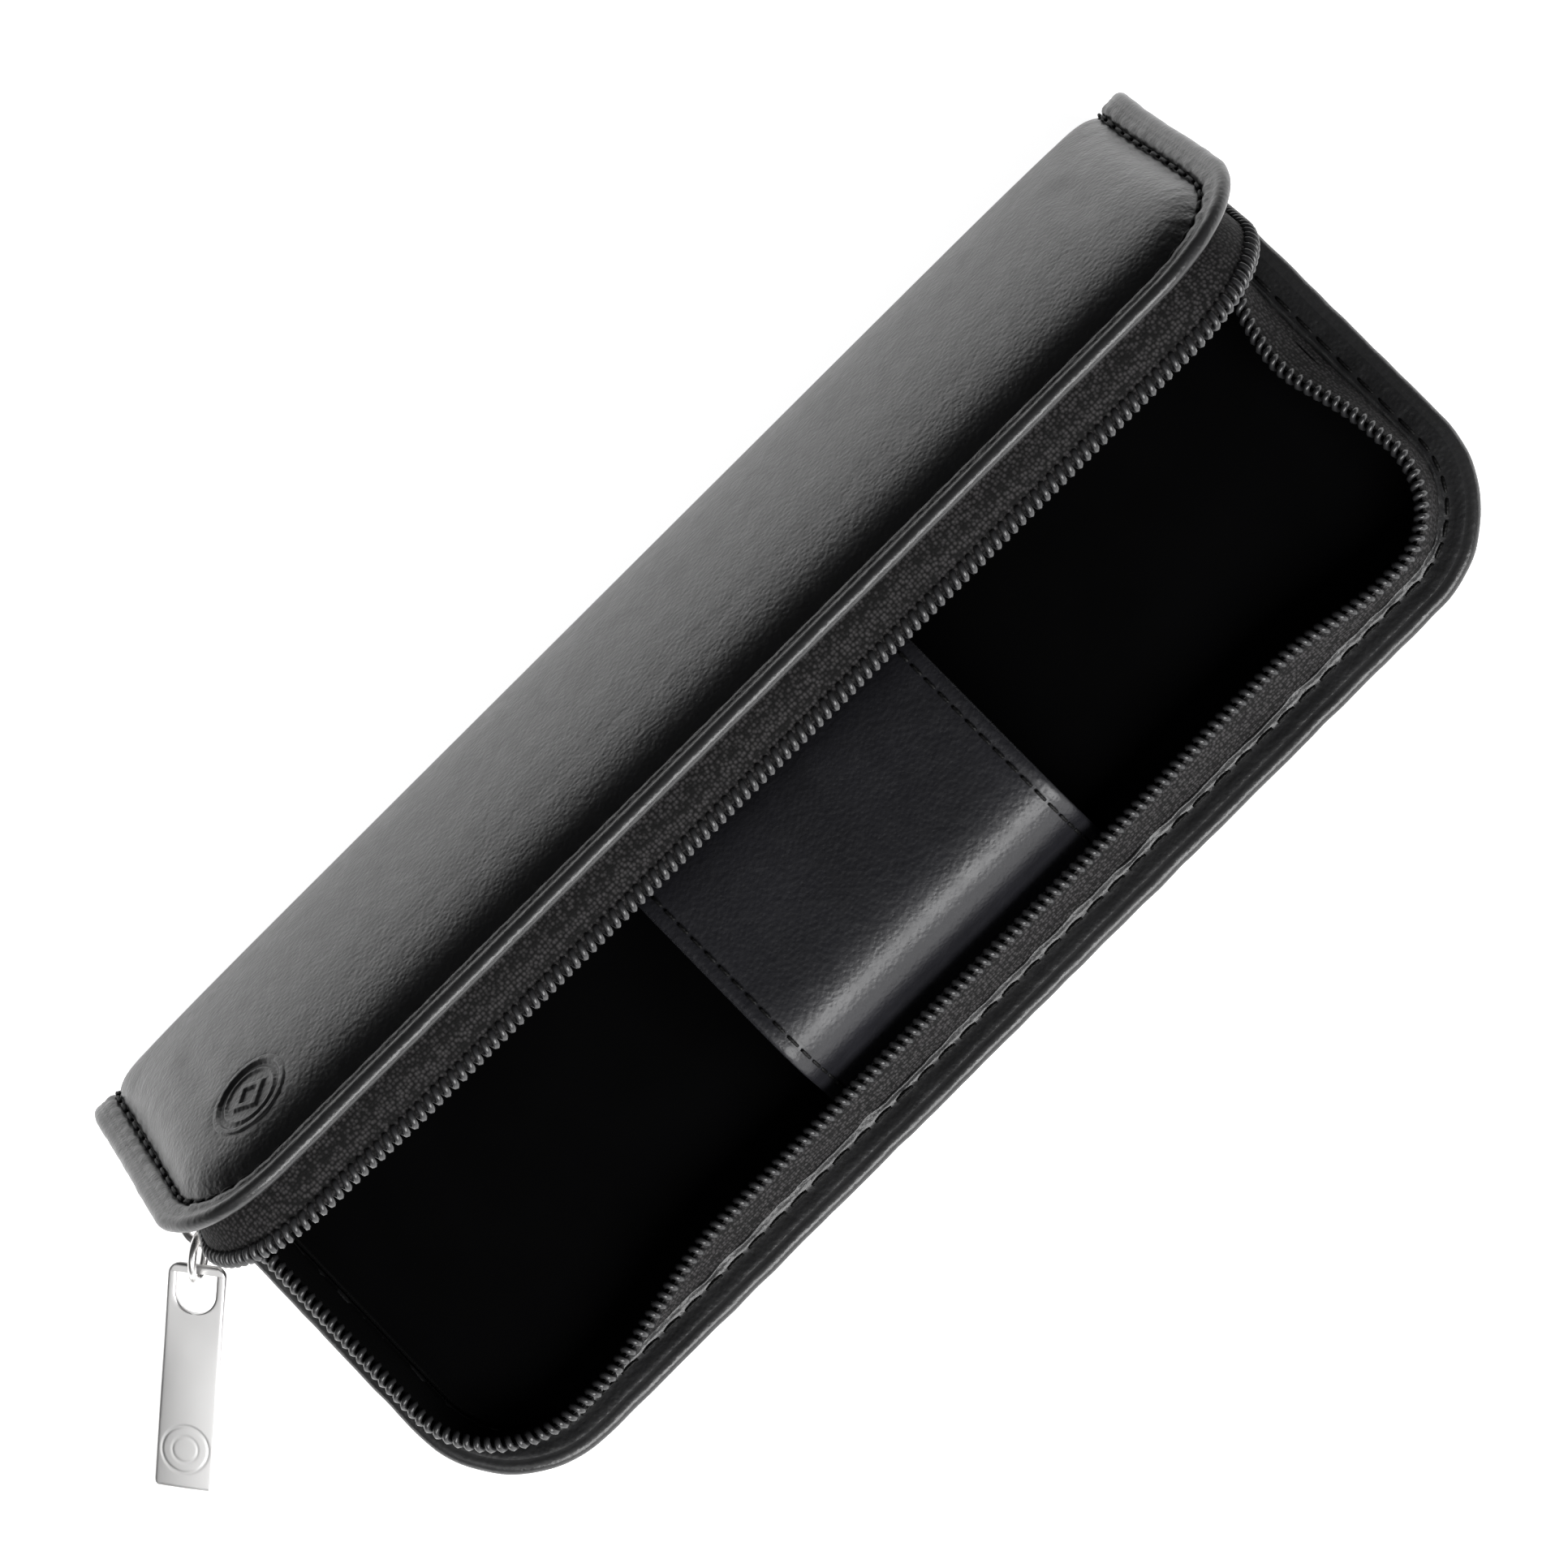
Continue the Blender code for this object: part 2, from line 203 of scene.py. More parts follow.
def turned_over(faces):
    return [tuple(reversed(face)) for face in faces]


def rings(path, first, second, radius, sides):
    """A ring of points round each point of a path, across two unit vectors that each point has."""
    turn = np.linspace(0, 2 * np.pi, sides, endpoint=False)[None, :, None]
    ring = np.cos(turn) * first[:, None] + np.sin(turn) * second[:, None]
    return (path[:, None] + radius * ring).reshape(-1, 3)


def tube(path, radius, sides=6, closed=False, up=(0, 0, 1)):
    """Points and faces of a round bar along a path, with flat ends unless closed."""
    path = np.asarray(path, float)
    count = len(path)
    if closed:
        tangent = np.roll(path, -1, 0) - np.roll(path, 1, 0)
    else:
        tangent = np.gradient(path, axis=0)
    tangent = unit(tangent)
    side = unit(np.cross(tangent, np.broadcast_to(np.asarray(up, float), path.shape)))
    points = rings(path, side, np.cross(side, tangent), radius, sides)
    faces = grid_faces(count, sides, around=True)
    if closed:
        last = (count - 1) * sides
        faces += [(last + j, last + (j + 1) % sides, (j + 1) % sides, j) for j in range(sides)]
    else:
        faces += end_faces(count, sides)
    return points, faces


def joined(parts):
    """Several (points, faces) as one."""
    points, faces, start = [], [], 0
    for part_points, part_faces in parts:
        points.append(part_points)
        faces += [tuple(i + start for i in face) for face in part_faces]
        start += len(part_points)
    return np.concatenate(points), faces


# Materials


def shader_of(name, colour, roughness, metallic=0.0, **inputs):
    """A material with its node tree and its shader, whose other inputs are given by name."""
    material = bpy.data.materials.new(name)
    material.use_nodes = True
    tree = material.node_tree
    shader = tree.nodes["Principled BSDF"]
    shader.inputs["Base Color"].default_value = (*colour, 1)
    shader.inputs["Roughness"].default_value = roughness
    shader.inputs["Metallic"].default_value = metallic
    for key, value in inputs.items():
        shader.inputs[key.replace("_", " ")].default_value = value
    return material, tree, shader


def node(tree, kind, **values):
    made = tree.nodes.new(kind)
    for key, value in values.items():
        if key in made.inputs:
            made.inputs[key].default_value = value
        else:
            setattr(made, key, value)
    return made


def ramp(tree, source, low, high, colour_low, colour_high):
    made = node(tree, "ShaderNodeValToRGB")
    made.color_ramp.elements[0].position = low
    made.color_ramp.elements[1].position = high
    made.color_ramp.elements[0].color = (*colour_low, 1)
    made.color_ramp.elements[1].color = (*colour_high, 1)
    tree.links.new(source, made.inputs[0])
    return made.outputs[0]


def toned(tree, shader, source, span, colour, first, last):
    """Base colour that runs from first x colour to last x colour as the source goes over the span."""
    shades = [c * first for c in colour], [c * last for c in colour]
    tree.links.new(ramp(tree, source, *span, *shades), shader.inputs["Base Color"])


def ranged(tree, source, low, high):
    made = node(tree, "ShaderNodeMapRange")
    made.inputs["To Min"].default_value = low
    made.inputs["To Max"].default_value = high
    tree.links.new(source, made.inputs["Value"])
    return made.outputs[0]


def bump_chain(tree, shader, layers):
    """Stacks bumps, each (height output, distance in metres, strength), onto the shader's normal."""
    normal = None
    for height, distance, strength in layers:
        bump = node(tree, "ShaderNodeBump", Distance=distance, Strength=strength)
        tree.links.new(height, bump.inputs["Height"])
        if normal is not None:
            tree.links.new(normal, bump.inputs["Normal"])
        normal = bump.outputs[0]
    tree.links.new(normal, shader.inputs["Normal"])


def texture(tree, kind, scale, **values):
    where = node(tree, "ShaderNodeTexCoord")
    made = node(tree, kind, Scale=scale, **values)
    tree.links.new(where.outputs["Object"], made.inputs["Vector"])
    return made


def leather(name, colour, roughness, grain=1.0):
    """Smooth calf: fine pebble grain, faint pores, and a finish that is a little uneven."""
    material, tree, shader = shader_of(name, colour, roughness, Specular_IOR_Level=0.5)
    pebble = texture(tree, "ShaderNodeTexVoronoi", 1900.0, feature="SMOOTH_F1")
    pores = texture(tree, "ShaderNodeTexNoise", 5200.0, Detail=3.0)
    cloud = texture(tree, "ShaderNodeTexNoise", 90.0, Detail=4.0)
    crease = texture(tree, "ShaderNodeTexNoise", 420.0, Detail=5.0, Distortion=0.6)
    toned(tree, shader, cloud.outputs[0], (0.3, 0.75), colour, 0.8, 1.25)
    gloss = ranged(tree, crease.outputs[0], roughness - 0.07, roughness + 0.09)
    tree.links.new(gloss, shader.inputs["Roughness"])
    layers = [
        (crease.outputs[0], 0.0005, 0.16 * grain),
        (pebble.outputs["Distance"], 0.0002, 0.35 * grain),
        (pores.outputs[0], 0.0001, 0.25 * grain),
    ]
    bump_chain(tree, shader, layers)
    return material


def woven(name, colour, scale):
    """Tight weave with bright and dark threads."""
    material, tree, shader = shader_of(name, colour, 0.85, Specular_IOR_Level=0.22)
    threads = texture(tree, "ShaderNodeTexVoronoi", scale, Randomness=0.55)
    fuzz = texture(tree, "ShaderNodeTexNoise", scale * 2.4, Detail=3.0)
    toned(tree, shader, threads.outputs["Distance"], (0.1, 0.6), colour, 3.2, 0.2)
    bump_chain(tree, shader, [(threads.outputs["Distance"], 0.00012, 0.7), (fuzz.outputs[0], 0.00006, 0.4)])
    return material


def velour(name, colour):
    """Matt pile, brushed a little unevenly."""
    material, tree, shader = shader_of(name, colour, 1.0, Specular_IOR_Level=0.03, Sheen_Weight=0.01)
    pile = texture(tree, "ShaderNodeTexNoise", 2600.0, Detail=4.0)
    brushed = texture(tree, "ShaderNodeTexNoise", 60.0, Detail=3.0)
    toned(tree, shader, brushed.outputs[0], (0.35, 0.7), colour, 0.7, 1.4)
    bump_chain(tree, shader, [(pile.outputs[0], 0.0001, 0.5)])
    return material


def nylon(name, colour):
    material, tree, shader = shader_of(name, colour, 0.32)
    streak = texture(tree, "ShaderNodeTexNoise", 900.0, Detail=3.0)
    tree.links.new(ranged(tree, streak.outputs[0], 0.24, 0.42), shader.inputs["Roughness"])
    bump_chain(tree, shader, [(streak.outputs[0], 0.00004, 0.3)])
    return material


def sewing_thread(name, colour):
    material, tree, shader = shader_of(name, colour, 0.6, Specular_IOR_Level=0.2)
    ply = texture(tree, "ShaderNodeTexWave", 900.0, Distortion=1.5, bands_direction="DIAGONAL")
    toned(tree, shader, ply.outputs[0], (0.2, 0.8), colour, 0.6, 1.5)
    bump_chain(tree, shader, [(ply.outputs[0], 0.00006, 0.5)])
    return material


def nickel(name, colour, roughness):
    """Plated zinc with a fine brushed haze."""
    material, tree, shader = shader_of(name, colour, roughness, metallic=1.0)
    haze = texture(tree, "ShaderNodeTexNoise", 260.0, Detail=5.0)
    scratch = texture(tree, "ShaderNodeTexNoise", 2400.0, Detail=2.0)
    gloss = ranged(tree, haze.outputs[0], roughness - 0.06, roughness + 0.08)
    tree.links.new(gloss, shader.inputs["Roughness"])
    bump_chain(tree, shader, [(scratch.outputs[0], 0.00001, 0.25)])
    return material


def card(name, colour):
    material, tree, shader = shader_of(name, colour, 0.95)
    fibre = texture(tree, "ShaderNodeTexNoise", 700.0, Detail=6.0)
    toned(tree, shader, fibre.outputs[0], (0.3, 0.7), colour, 0.8, 1.15)
    bump_chain(tree, shader, [(fibre.outputs[0], 0.0001, 0.4)])
    return material


LEATHER = leather("cover_leather", (0.011, 0.011, 0.0115), 0.37)
BAND_LEATHER = leather("band_leather", (0.0075, 0.0075, 0.0095), 0.43, grain=0.8)
# The bead's leather is the cover leather made lighter, a painted highlight along the turned edge, and a little
# smoother.
BEAD_HIGHLIGHT_LEATHER = leather("bead_leather_painted_highlight", (0.016, 0.016, 0.0165), 0.34, grain=0.6)
LINING = velour("black_velour", (0.0007, 0.0007, 0.0008))
TAPE = woven("zip_tape_weave", (0.0125, 0.0118, 0.0121), 2100.0)
COIL = nylon("coil_nylon", (0.018, 0.018, 0.019))
THREAD = sewing_thread("black_thread", (0.0025, 0.0025, 0.0025))
METAL = nickel("nickel_plate", (0.66, 0.65, 0.64), 0.27)
TAB_METAL = nickel("satin_tab", (0.61, 0.605, 0.60), 0.38)
CARD = card("grey_card", (0.35, 0.30, 0.24))
FOAM = card("pale_foam", (0.50, 0.50, 0.48))


# The leather cover


def outline():
    """Rows (x, w, outward x, outward w) round the flattened cover, CORNER in from its edge."""
    across = int(round(2 * (END_X - CORNER) / GRID))
    along = int(round((TOTAL - 2 * CORNER) / GRID))
    turns = int(round(math.pi / 2 * CORNER / GRID))
    xs = np.linspace(END_X - CORNER, CORNER - END_X, across + 1)
    ws = np.linspace(CORNER, TOTAL - CORNER, along + 1)
    sides = (
        ([(xs[0], w) for w in ws], (1.0, 0.0)),
        ([(x, ws[-1]) for x in xs], (0.0, 1.0)),
        ([(xs[-1], w) for w in ws[::-1]], (-1.0, 0.0)),
        ([(x, ws[0]) for x in xs[::-1]], (0.0, -1.0)),
    )
    rows = []
    for quarter, (places, outward) in enumerate(sides):
        rows += [(*place, *outward) for place in places[:-1]]
        for k in range(turns):
            a = math.pi / 2 * (quarter + k / turns)
            rows.append((*places[-1], math.cos(a), math.sin(a)))
    return np.array(rows), xs, ws, turns


OUTLINE, GRID_X, GRID_W, TURNS = outline()
OUTWARD = OUTLINE[:, 2:]


def at_inset(inset):
    """(x, w) of every outline point moved in by inset."""
    return OUTLINE[:, :2] + OUTWARD * (CORNER - np.asarray(inset))[..., None]


EDGE = at_inset(0.0)
STEP_LENGTHS = np.linalg.norm(np.roll(EDGE, -1, 0) - EDGE, axis=1)
AROUND = np.concatenate([[0], np.cumsum(STEP_LENGTHS)[:-1]])
PERIMETER = STEP_LENGTHS.sum()
STITCHES = int(round(PERIMETER / STITCH_PITCH))

# Where the outline is at a short end, at a round corner and at the spine, from 0 to 1
SHORT_END = OUTWARD[:, 0] ** 2
AT_CORNER = 4 * (OUTWARD[:, 0] * OUTWARD[:, 1]) ** 2
AT_SPINE = bell(EDGE[:, 1], TOTAL / 2, 14.0)

# At the spine the edge stands 0.75 mm further out. PUCKER is how hard the thread pulls at each point, once
# per stitch and unevenly, and CRINKLE is the fine creasing of the hem, in millimetres.
SPINE_LIFT = 0.75 * AT_SPINE * SHORT_END
PHASE = 2 * np.pi * AROUND * STITCHES / PERIMETER
RANDOM = noise_over(AROUND, 0 * AROUND, 3.1, 5.0)
CORNER_FOLDS = 1.1 * AT_CORNER * noise_over(AROUND, 0 * AROUND, 1.1, 9.0)
PUCKER = (0.6 + 0.4 * np.cos(PHASE)) * (1 + 0.9 * RANDOM) + CORNER_FOLDS
CRINKLE = 0.22 * noise_over(AROUND, 0 * AROUND, 1.7, 21.0)

# The lid's padding: its height, how square its arch is, how far it reaches from the free edge, and how fast
# it falls off at the short ends. SHOULDER is the leather's rise over the spine.
DOME = 3.5
FULLNESS = 2.2
DOME_SPAN = 50.0
DOME_END = 6.5
SHOULDER = 0.6

# The leather sinks by STITCH_SINK at the stitch line, and the panel stays PANEL_GAP off the table.
STITCH_SINK = 1.15
PANEL_GAP = 0.02
PANEL_INSETS = [3.8, 4.05, 4.3, 4.6, 5.0, 5.5, 6.1, 6.8, 7.6, 8.5, 9.5, 10.6, 11.8, 13.0, 14.4]


def crown(x, w):
    """How far the panel stands out: the lid is padded and arched, and the base lies flat on the table."""
    along = np.clip((TOTAL - STITCH_INSET - np.asarray(w, float)) / DOME_SPAN, 0, 1)
    ends = 1 - np.exp(-np.maximum(END_X - STITCH_INSET - np.abs(x), 0) / DOME_END)
    shoulder = SHOULDER * smooth(w, FLAT - 2, FLAT + SPINE * 0.6)
    return DOME * (1 - np.abs(2 * along - 1) ** FULLNESS) * ends + shoulder


def panel_height(inset, x, w):
    """Inward height of the outer face inside the stitch line."""
    inside = np.maximum(np.asarray(inset) - STITCH_INSET, 0)
    sunk = STITCH_SINK * np.exp(-((inside / 1.5) ** 1.1))
    return sunk - crown(x, w) * (1 - np.exp(-inside / 1.6)) + PANEL_GAP


BEAD_X, BEAD_Z = 1.0, 0.95
BEAD_MIDDLE = 1.36
RIM_MIDDLE = 1.6
BEAD_TURNS = range(125, -126, -25)


def rim_profile():
    """(inset, height) round the turned edge, from under the tape, round the bead, to the stitch line."""
    hem = [(5.7, 1.7), (5.2, 2.2), (4.95, 2.6), (4.75, 2.82), (4.55, 2.72), (4.35, 2.42), (4.1, 2.18)]
    inner = [(3.7, 2.04), (3.3, 2.02), (2.8, 2.1), (2.2, 2.26)]
    bead = [(1.7, 2.2)]
    for turn in map(math.radians, BEAD_TURNS):
        bead.append((BEAD_X * (1 - math.cos(turn)), BEAD_MIDDLE + BEAD_Z * math.sin(turn)))
    outer = [(1.75, 0.66), (1.95, 0.78), (2.2, 0.60), (2.6, 0.44), (3.0, 0.46), (3.3, 0.64), (3.55, 0.98)]
    return hem + inner + bead + outer


# The loops between these two carry the bead's material: a lighter copy of the cover leather, whose lighter
# colour is a painted highlight and whose lower roughness is a real gloss.
BEAD_FIRST = 11
BEAD_LAST = BEAD_FIRST + len(BEAD_TURNS)

# Depths of the marks that the sewing leaves on the turned edge, and how far its points wander sideways
RIM_GROOVE = 0.28
STITCH_PULL, SHORT_END_PULL, PULL_REACH = 0.10, 0.32, 1.1
CORNER_PULL = 0.10
HEM_PULL, HEM_END = 0.22, 5.1
PANEL_PULL, PANEL_END_PULL, PANEL_WAVE = 0.16, 0.12, 0.06
BEAD_WANDER, HEM_WANDER = 0.10, 0.35


def rim_loop(inset, height):
    """One loop of the turned edge. Its outer side is lower than RIM_MIDDLE and its inner side is higher."""
    outside, inside = smooth(height, RIM_MIDDLE, 0.9), smooth(height, RIM_MIDDLE, 2.0)
    groove = RIM_GROOVE * SHORT_END * bell(inset, 1.9, 0.3)
    pull = (STITCH_PULL + SHORT_END_PULL * SHORT_END) * PUCKER * bell(inset, STITCH_INSET, PULL_REACH)
    corner_pull = CORNER_PULL * AT_CORNER * PUCKER * smooth(inset, 0.2, 1.5)
    level = height - SPINE_LIFT * smooth(inset, 8.0, 3.6)
    level = level + outside * (pull + corner_pull - groove)
    level = level + inside * CRINKLE * bell(inset, 3.3, 0.9)
    if inset < HEM_END:
        level = level + HEM_PULL * (PUCKER - 0.6) * smooth(height, 2.2, 2.8)
    wander = BEAD_WANDER * smooth(inset, 3.0, 0.5) + HEM_WANDER * smooth(height, 2.3, 2.7)
    x, w = at_inset(inset + RANDOM * wander).T
    return skin(x, w, level)


def panel_loop(inset):
    """One loop of the panel inside the stitch line, where the thread's pulls fade out."""
    past = inset - STITCH_INSET
    x, w = at_inset(inset).T
    level = panel_height(inset, x, w) - SPINE_LIFT * math.exp(-past / 1.5)
    level = level + (PANEL_PULL + PANEL_END_PULL * SHORT_END) * PUCKER * math.exp(-past / 1.2)
    level = level + PANEL_WAVE * SHORT_END * RANDOM * math.exp(-past / 4.5)
    table = PANEL_GAP - 3 * smooth(w, FLAT - 4, FLAT + 6)
    return skin(x, w, np.maximum(level, table))


def grid_rim(start):
    """The middle grid's rim in the outline's order, each corner repeated for the outline's round corner."""
    columns, rows = len(GRID_X), len(GRID_W)
    rim = [start + w * columns for w in range(rows - 1)]
    rim += [start + (rows - 1) * columns] * TURNS
    rim += [start + (rows - 1) * columns + x for x in range(columns - 1)]
    rim += [start + rows * columns - 1] * TURNS
    rim += [start + w * columns + columns - 1 for w in range(rows - 1, 0, -1)]
    rim += [start + columns - 1] * TURNS
    rim += [start + x for x in range(columns - 1, 0, -1)]
    return rim + [start] * TURNS


def leather_cover():
    """The turned edge's loops, the panel's loops, and a grid in the middle that the last loop joins."""
    loops = [rim_loop(inset, height) for inset, height in rim_profile()]
    loops += [panel_loop(inset) for inset in PANEL_INSETS]
    count = len(OUTLINE)
    start = len(loops) * count
    grid_x, grid_w = (v.ravel() for v in np.meshgrid(GRID_X, GRID_W))
    middle = skin(grid_x, grid_w, panel_height(CORNER, grid_x, grid_w))
    points = np.concatenate([*loops, middle])
    faces = grid_faces(len(loops), count, around=True)
    faces += turned_over(grid_faces(len(GRID_W), len(GRID_X), start=start))
    rim, last = grid_rim(start), start - count
    for j in range(count):
        k = (j + 1) % count
        faces.append(tuple(dict.fromkeys((last + j, last + k, rim[k], rim[j]))))
    obj = mesh_object("leather_cover", points + medallion_dish(points), faces, [LEATHER, BEAD_HIGHLIGHT_LEATHER])
    # The bead's faces take the lighter leather, whose extra lightness is a painted highlight.
    bead = range(BEAD_FIRST * count, BEAD_LAST * count)
    for polygon in obj.data.polygons:
        polygon.material_index = int(polygon.index in bead)
    return obj


MEDALLION_X = -65.0
MEDALLION_W = TOTAL - 13.6
MEDALLION_R = 4.9
MEDALLION_SINK = 0.55
MEDALLION_LIP, MEDALLION_FLOOR, MEDALLION_TUCK = 0.06, 0.42, 0.35
RING_HIGH, DIAMOND_HIGH = 0.22, 0.30
FAR = 99.0


def medallion_radius(points):
    """Distance of each point from the medallion's centre, across the lid, and the lid's inward direction."""
    centre = skin(MEDALLION_X, MEDALLION_W, 0.0)
    along = skin(MEDALLION_X, MEDALLION_W + 1.0, 0.0) - centre
    inwards = skin(MEDALLION_X, MEDALLION_W, 1.0) - centre
    rel = points - centre
    radius = np.hypot(rel[:, 0], rel @ along)
    return np.where(rel @ inwards < 1.0, radius, FAR), inwards


def medallion_dish(points):
    """The shallow dish that the medallion is pressed into."""
    radius, inwards = medallion_radius(points)
    return MEDALLION_SINK * smooth(radius, MEDALLION_R + 0.5, MEDALLION_R - 0.7)[:, None] * inwards[None]


def medallion():
    """The pressed medallion: a lip, a ring and a plain diamond with an open heart."""
    lip = MEDALLION_R + np.linspace(-0.2, 0.7, 10)
    radii = np.concatenate([np.linspace(0, MEDALLION_R - 0.3, 60), lip])
    turns = np.linspace(0, 2 * np.pi, 120, endpoint=False)
    r, t = (v.ravel() for v in np.meshgrid(radii, turns, indexing="ij"))
    u, v = r * np.cos(t), r * np.sin(t)
    surface = panel_height(CORNER, MEDALLION_X + u, MEDALLION_W + v)
    wall = smooth(r, MEDALLION_R - 0.1, MEDALLION_R - 0.6)
    ring = bell(r, 0.74 * MEDALLION_R, 0.3)
    diamond = smooth(np.abs(u) + np.abs(v), 0.58 * MEDALLION_R, 0.46 * MEDALLION_R)
    heart = smooth(np.abs(u) + np.abs(v), 0.22 * MEDALLION_R, 0.32 * MEDALLION_R)
    tuck = MEDALLION_TUCK * smooth(r, MEDALLION_R + 0.35, MEDALLION_R + 0.7)
    relief = RING_HIGH * ring + DIAMOND_HIGH * diamond * heart
    level = surface - MEDALLION_LIP + MEDALLION_FLOOR * wall - relief + tuck
    points = skin(MEDALLION_X + u, MEDALLION_W + v, level)
    faces = turned_over(grid_faces(len(radii), len(turns), around=True))
    return mesh_object("lid_medallion", points, faces, LEATHER)


STITCH_OUTSIDE, STITCH_INSIDE = 1.02, 2.02
THREAD_R = 0.21
THREAD_BOW = 0.20
THREAD_SHARE = 0.72
STITCH_POINTS = 7


def stitches(height, side, name):
    """One short thread per stitch round the stitch line, bowed off the leather's outer or inner side."""
    line_x, line_w = at_inset(STITCH_INSET).T
    reach = THREAD_SHARE / 2 * STITCH_PITCH
    bow = THREAD_BOW * np.sin(np.linspace(0, np.pi, STITCH_POINTS))
    parts = []
    for k in range(STITCHES):
        middle = (k + 0.5) / STITCHES * PERIMETER
        ats = np.linspace(middle - reach, middle + reach, STITCH_POINTS) % PERIMETER
        x, w, lift = (np.interp(ats, AROUND, v, period=PERIMETER) for v in (line_x, line_w, SPINE_LIFT))
        parts.append(tube(skin(x, w, height - side * bow - lift), THREAD_R, up=(0.3, 0.2, 0.9)))
    return mesh_object(name, *joined(parts), THREAD)


# The zip's upright walls


WALL_TURNS = 24
FRONT_STATIONS = 165


def wall_path(end_y):
    """Stations round the three zip sides in closed (x, y), with the outward direction at each."""
    rows = [(END_X - CORNER, y, 1.0, 0.0) for y in np.arange(end_y, FRONT_Y + CORNER, -GRID)]
    for k in range(WALL_TURNS + 1):
        a = math.pi / 2 * k / WALL_TURNS
        rows.append((END_X - CORNER, FRONT_Y + CORNER, math.cos(a), -math.sin(a)))
    xs = np.linspace(END_X - CORNER, CORNER - END_X, FRONT_STATIONS)[1:-1]
    front = [(x, FRONT_Y + CORNER, 0.0, -1.0) for x in xs]
    mirrored = [(-x, y, -ox, oy) for x, y, ox, oy in reversed(rows)]
    return np.array(rows + front + mirrored)


# The base's tape sags inwards on its long side and at its right end, each with a deeper dip in the sag.
LONG_SAG, LONG_DIP, LONG_RISE = 3.6, 0.5, 1.6
END_SAG, END_DIP = 1.3, 2.6


def lean(body, path):
    """How far the zip's edge stands inwards of its foot, at each station."""
    x, y, ox, oy = path.T
    front, right, left = oy**2, np.maximum(ox, 0) ** 2, np.maximum(-ox, 0) ** 2
    if body == "base":
        long_side = 0.6 + LONG_SAG * smooth(x, -64, -40) + LONG_DIP * bell(x, 44, 14)
        long_side = long_side - LONG_RISE * smooth(x, 50, 64)
        sag = 2.8 + END_SAG * smooth(y, -20, -12) + END_DIP * bell(y, 2, 8)
        return front * long_side + right * sag * (1 - smooth(y, 8, 21)) - 0.35 * left
    left_out = 0.1 + 1.8 * (1 - smooth(y, -22, -8))
    return -1.0 * front - 0.3 * right * (1 - smooth(y, 5, 20)) - left * left_out


LID_HANG = 0.4


def drop(body, path):
    """How far the lid's zip edge hangs beyond its closed height, away from the slider."""
    if body == "base":
        return 0 * path[:, 0]
    x, y, ox, oy = path.T
    right = np.maximum(ox, 0) ** 2 * (1 - smooth(y, 0, 18))
    return LID_HANG * (oy**2 * smooth(x, -66, -52) + right)


def wall_points(body, path, inset, height):
    """Points of one half's wall, at an inset from the case's edge and a height per station."""
    xy = path[:, :2] + path[:, 2:] * (CORNER - inset)[:, None]
    return half_point(body, xy[:, 0], xy[:, 1], height)


TAPE_HALF = 0.28
TAPE_STEPS = 13
TAPE_BULGE, TAPE_WAVE = 0.4, 0.22
TAPE_TAPER = 0.4
FOOT_INSET = 5.0
MARGIN_THICK = 2.05


def margin_inner(y):
    """Height of the margin's inner side at closed y, where the tape's foot stands."""
    beyond = np.clip(y - BEND_Y, 0, None)
    inner = HINGE_Z - MARGIN_THICK
    return HINGE_Z - np.sqrt(np.maximum(inner**2 - beyond**2, 0.1))


def zip_tape(body):
    """The upright tape from its foot on the margin to the coil, and the lining on its inner side."""
    path = wall_path(TAPE_END_Y)
    leaning, hang = lean(body, path), drop(body, path)
    wave = noise_over(path[:, 0], path[:, 1], 9.0, 3.0)
    foot = margin_inner(path[:, 1]) + 0.1
    top = COIL_MIDDLE + 0.1 + hang
    upward = np.linspace(0, 1, TAPE_STEPS)
    sides = []
    for offset, fractions in ((-TAPE_HALF, upward), (TAPE_HALF, upward[::-1])):
        for f in fractions:
            belly = math.sin(math.pi * f)
            inset = FOOT_INSET + (WALL_INSET + leaning - FOOT_INSET) * f + offset * (1 - TAPE_TAPER * f)
            inset = inset + belly * (TAPE_WAVE * wave - TAPE_BULGE)
            sides.append(wall_points(body, path, inset, foot + (top - foot) * f))
    points = np.stack(sides, axis=1).reshape(-1, 3)
    columns = len(sides)
    faces = grid_faces(len(path), columns, around=True)
    faces += turned_over(end_faces(len(path), columns))
    obj = mesh_object(f"{body}_tape", points, faces, [TAPE, LINING])
    for polygon in obj.data.polygons:
        inner_side = min(v % columns for v in polygon.vertices) >= TAPE_STEPS - 1
        polygon.material_index = int(inner_side and len(polygon.vertices) == 4)
    return obj


COIL_PITCH = 1.25
COIL_OUT, COIL_UP = 0.58, 0.78
WIRE = 0.41
WIRE_SIDES = 6
TURN_POINTS = 16


def zip_coil(body):
    """The nylon coil: one wire wound round the tape's edge, flattened across it."""
    path = wall_path(COIL_END_Y)
    leaning, hang = lean(body, path), drop(body, path)
    centre = wall_points(body, path, WALL_INSET + leaning, COIL_MIDDLE + hang)
    outer = wall_points(body, path, WALL_INSET + leaning - 1, COIL_MIDDLE + hang)
    upper = wall_points(body, path, WALL_INSET + leaning, COIL_MIDDLE + hang + 1)
    run = run_along(centre)
    ats = np.linspace(0, run[-1], int(run[-1] / COIL_PITCH * TURN_POINTS))
    angle = 2 * np.pi * ats / COIL_PITCH

    def along(values):
        return np.stack([np.interp(ats, run, column) for column in values.T], axis=1)

    out, up = along(outer - centre), along(upper - centre)
    radial = np.cos(angle)[:, None] * out * COIL_OUT + np.sin(angle)[:, None] * up * COIL_UP
    wire = along(centre) + radial
    first = unit(radial)
    second = np.cross(unit(np.gradient(wire, axis=0)), first)
    points = rings(wire, first, second, WIRE, WIRE_SIDES)
    faces = grid_faces(len(wire), WIRE_SIDES, around=True) + end_faces(len(wire), WIRE_SIDES)
    return mesh_object(f"{body}_coil", points, faces, COIL)


# Lining, gussets and pen band


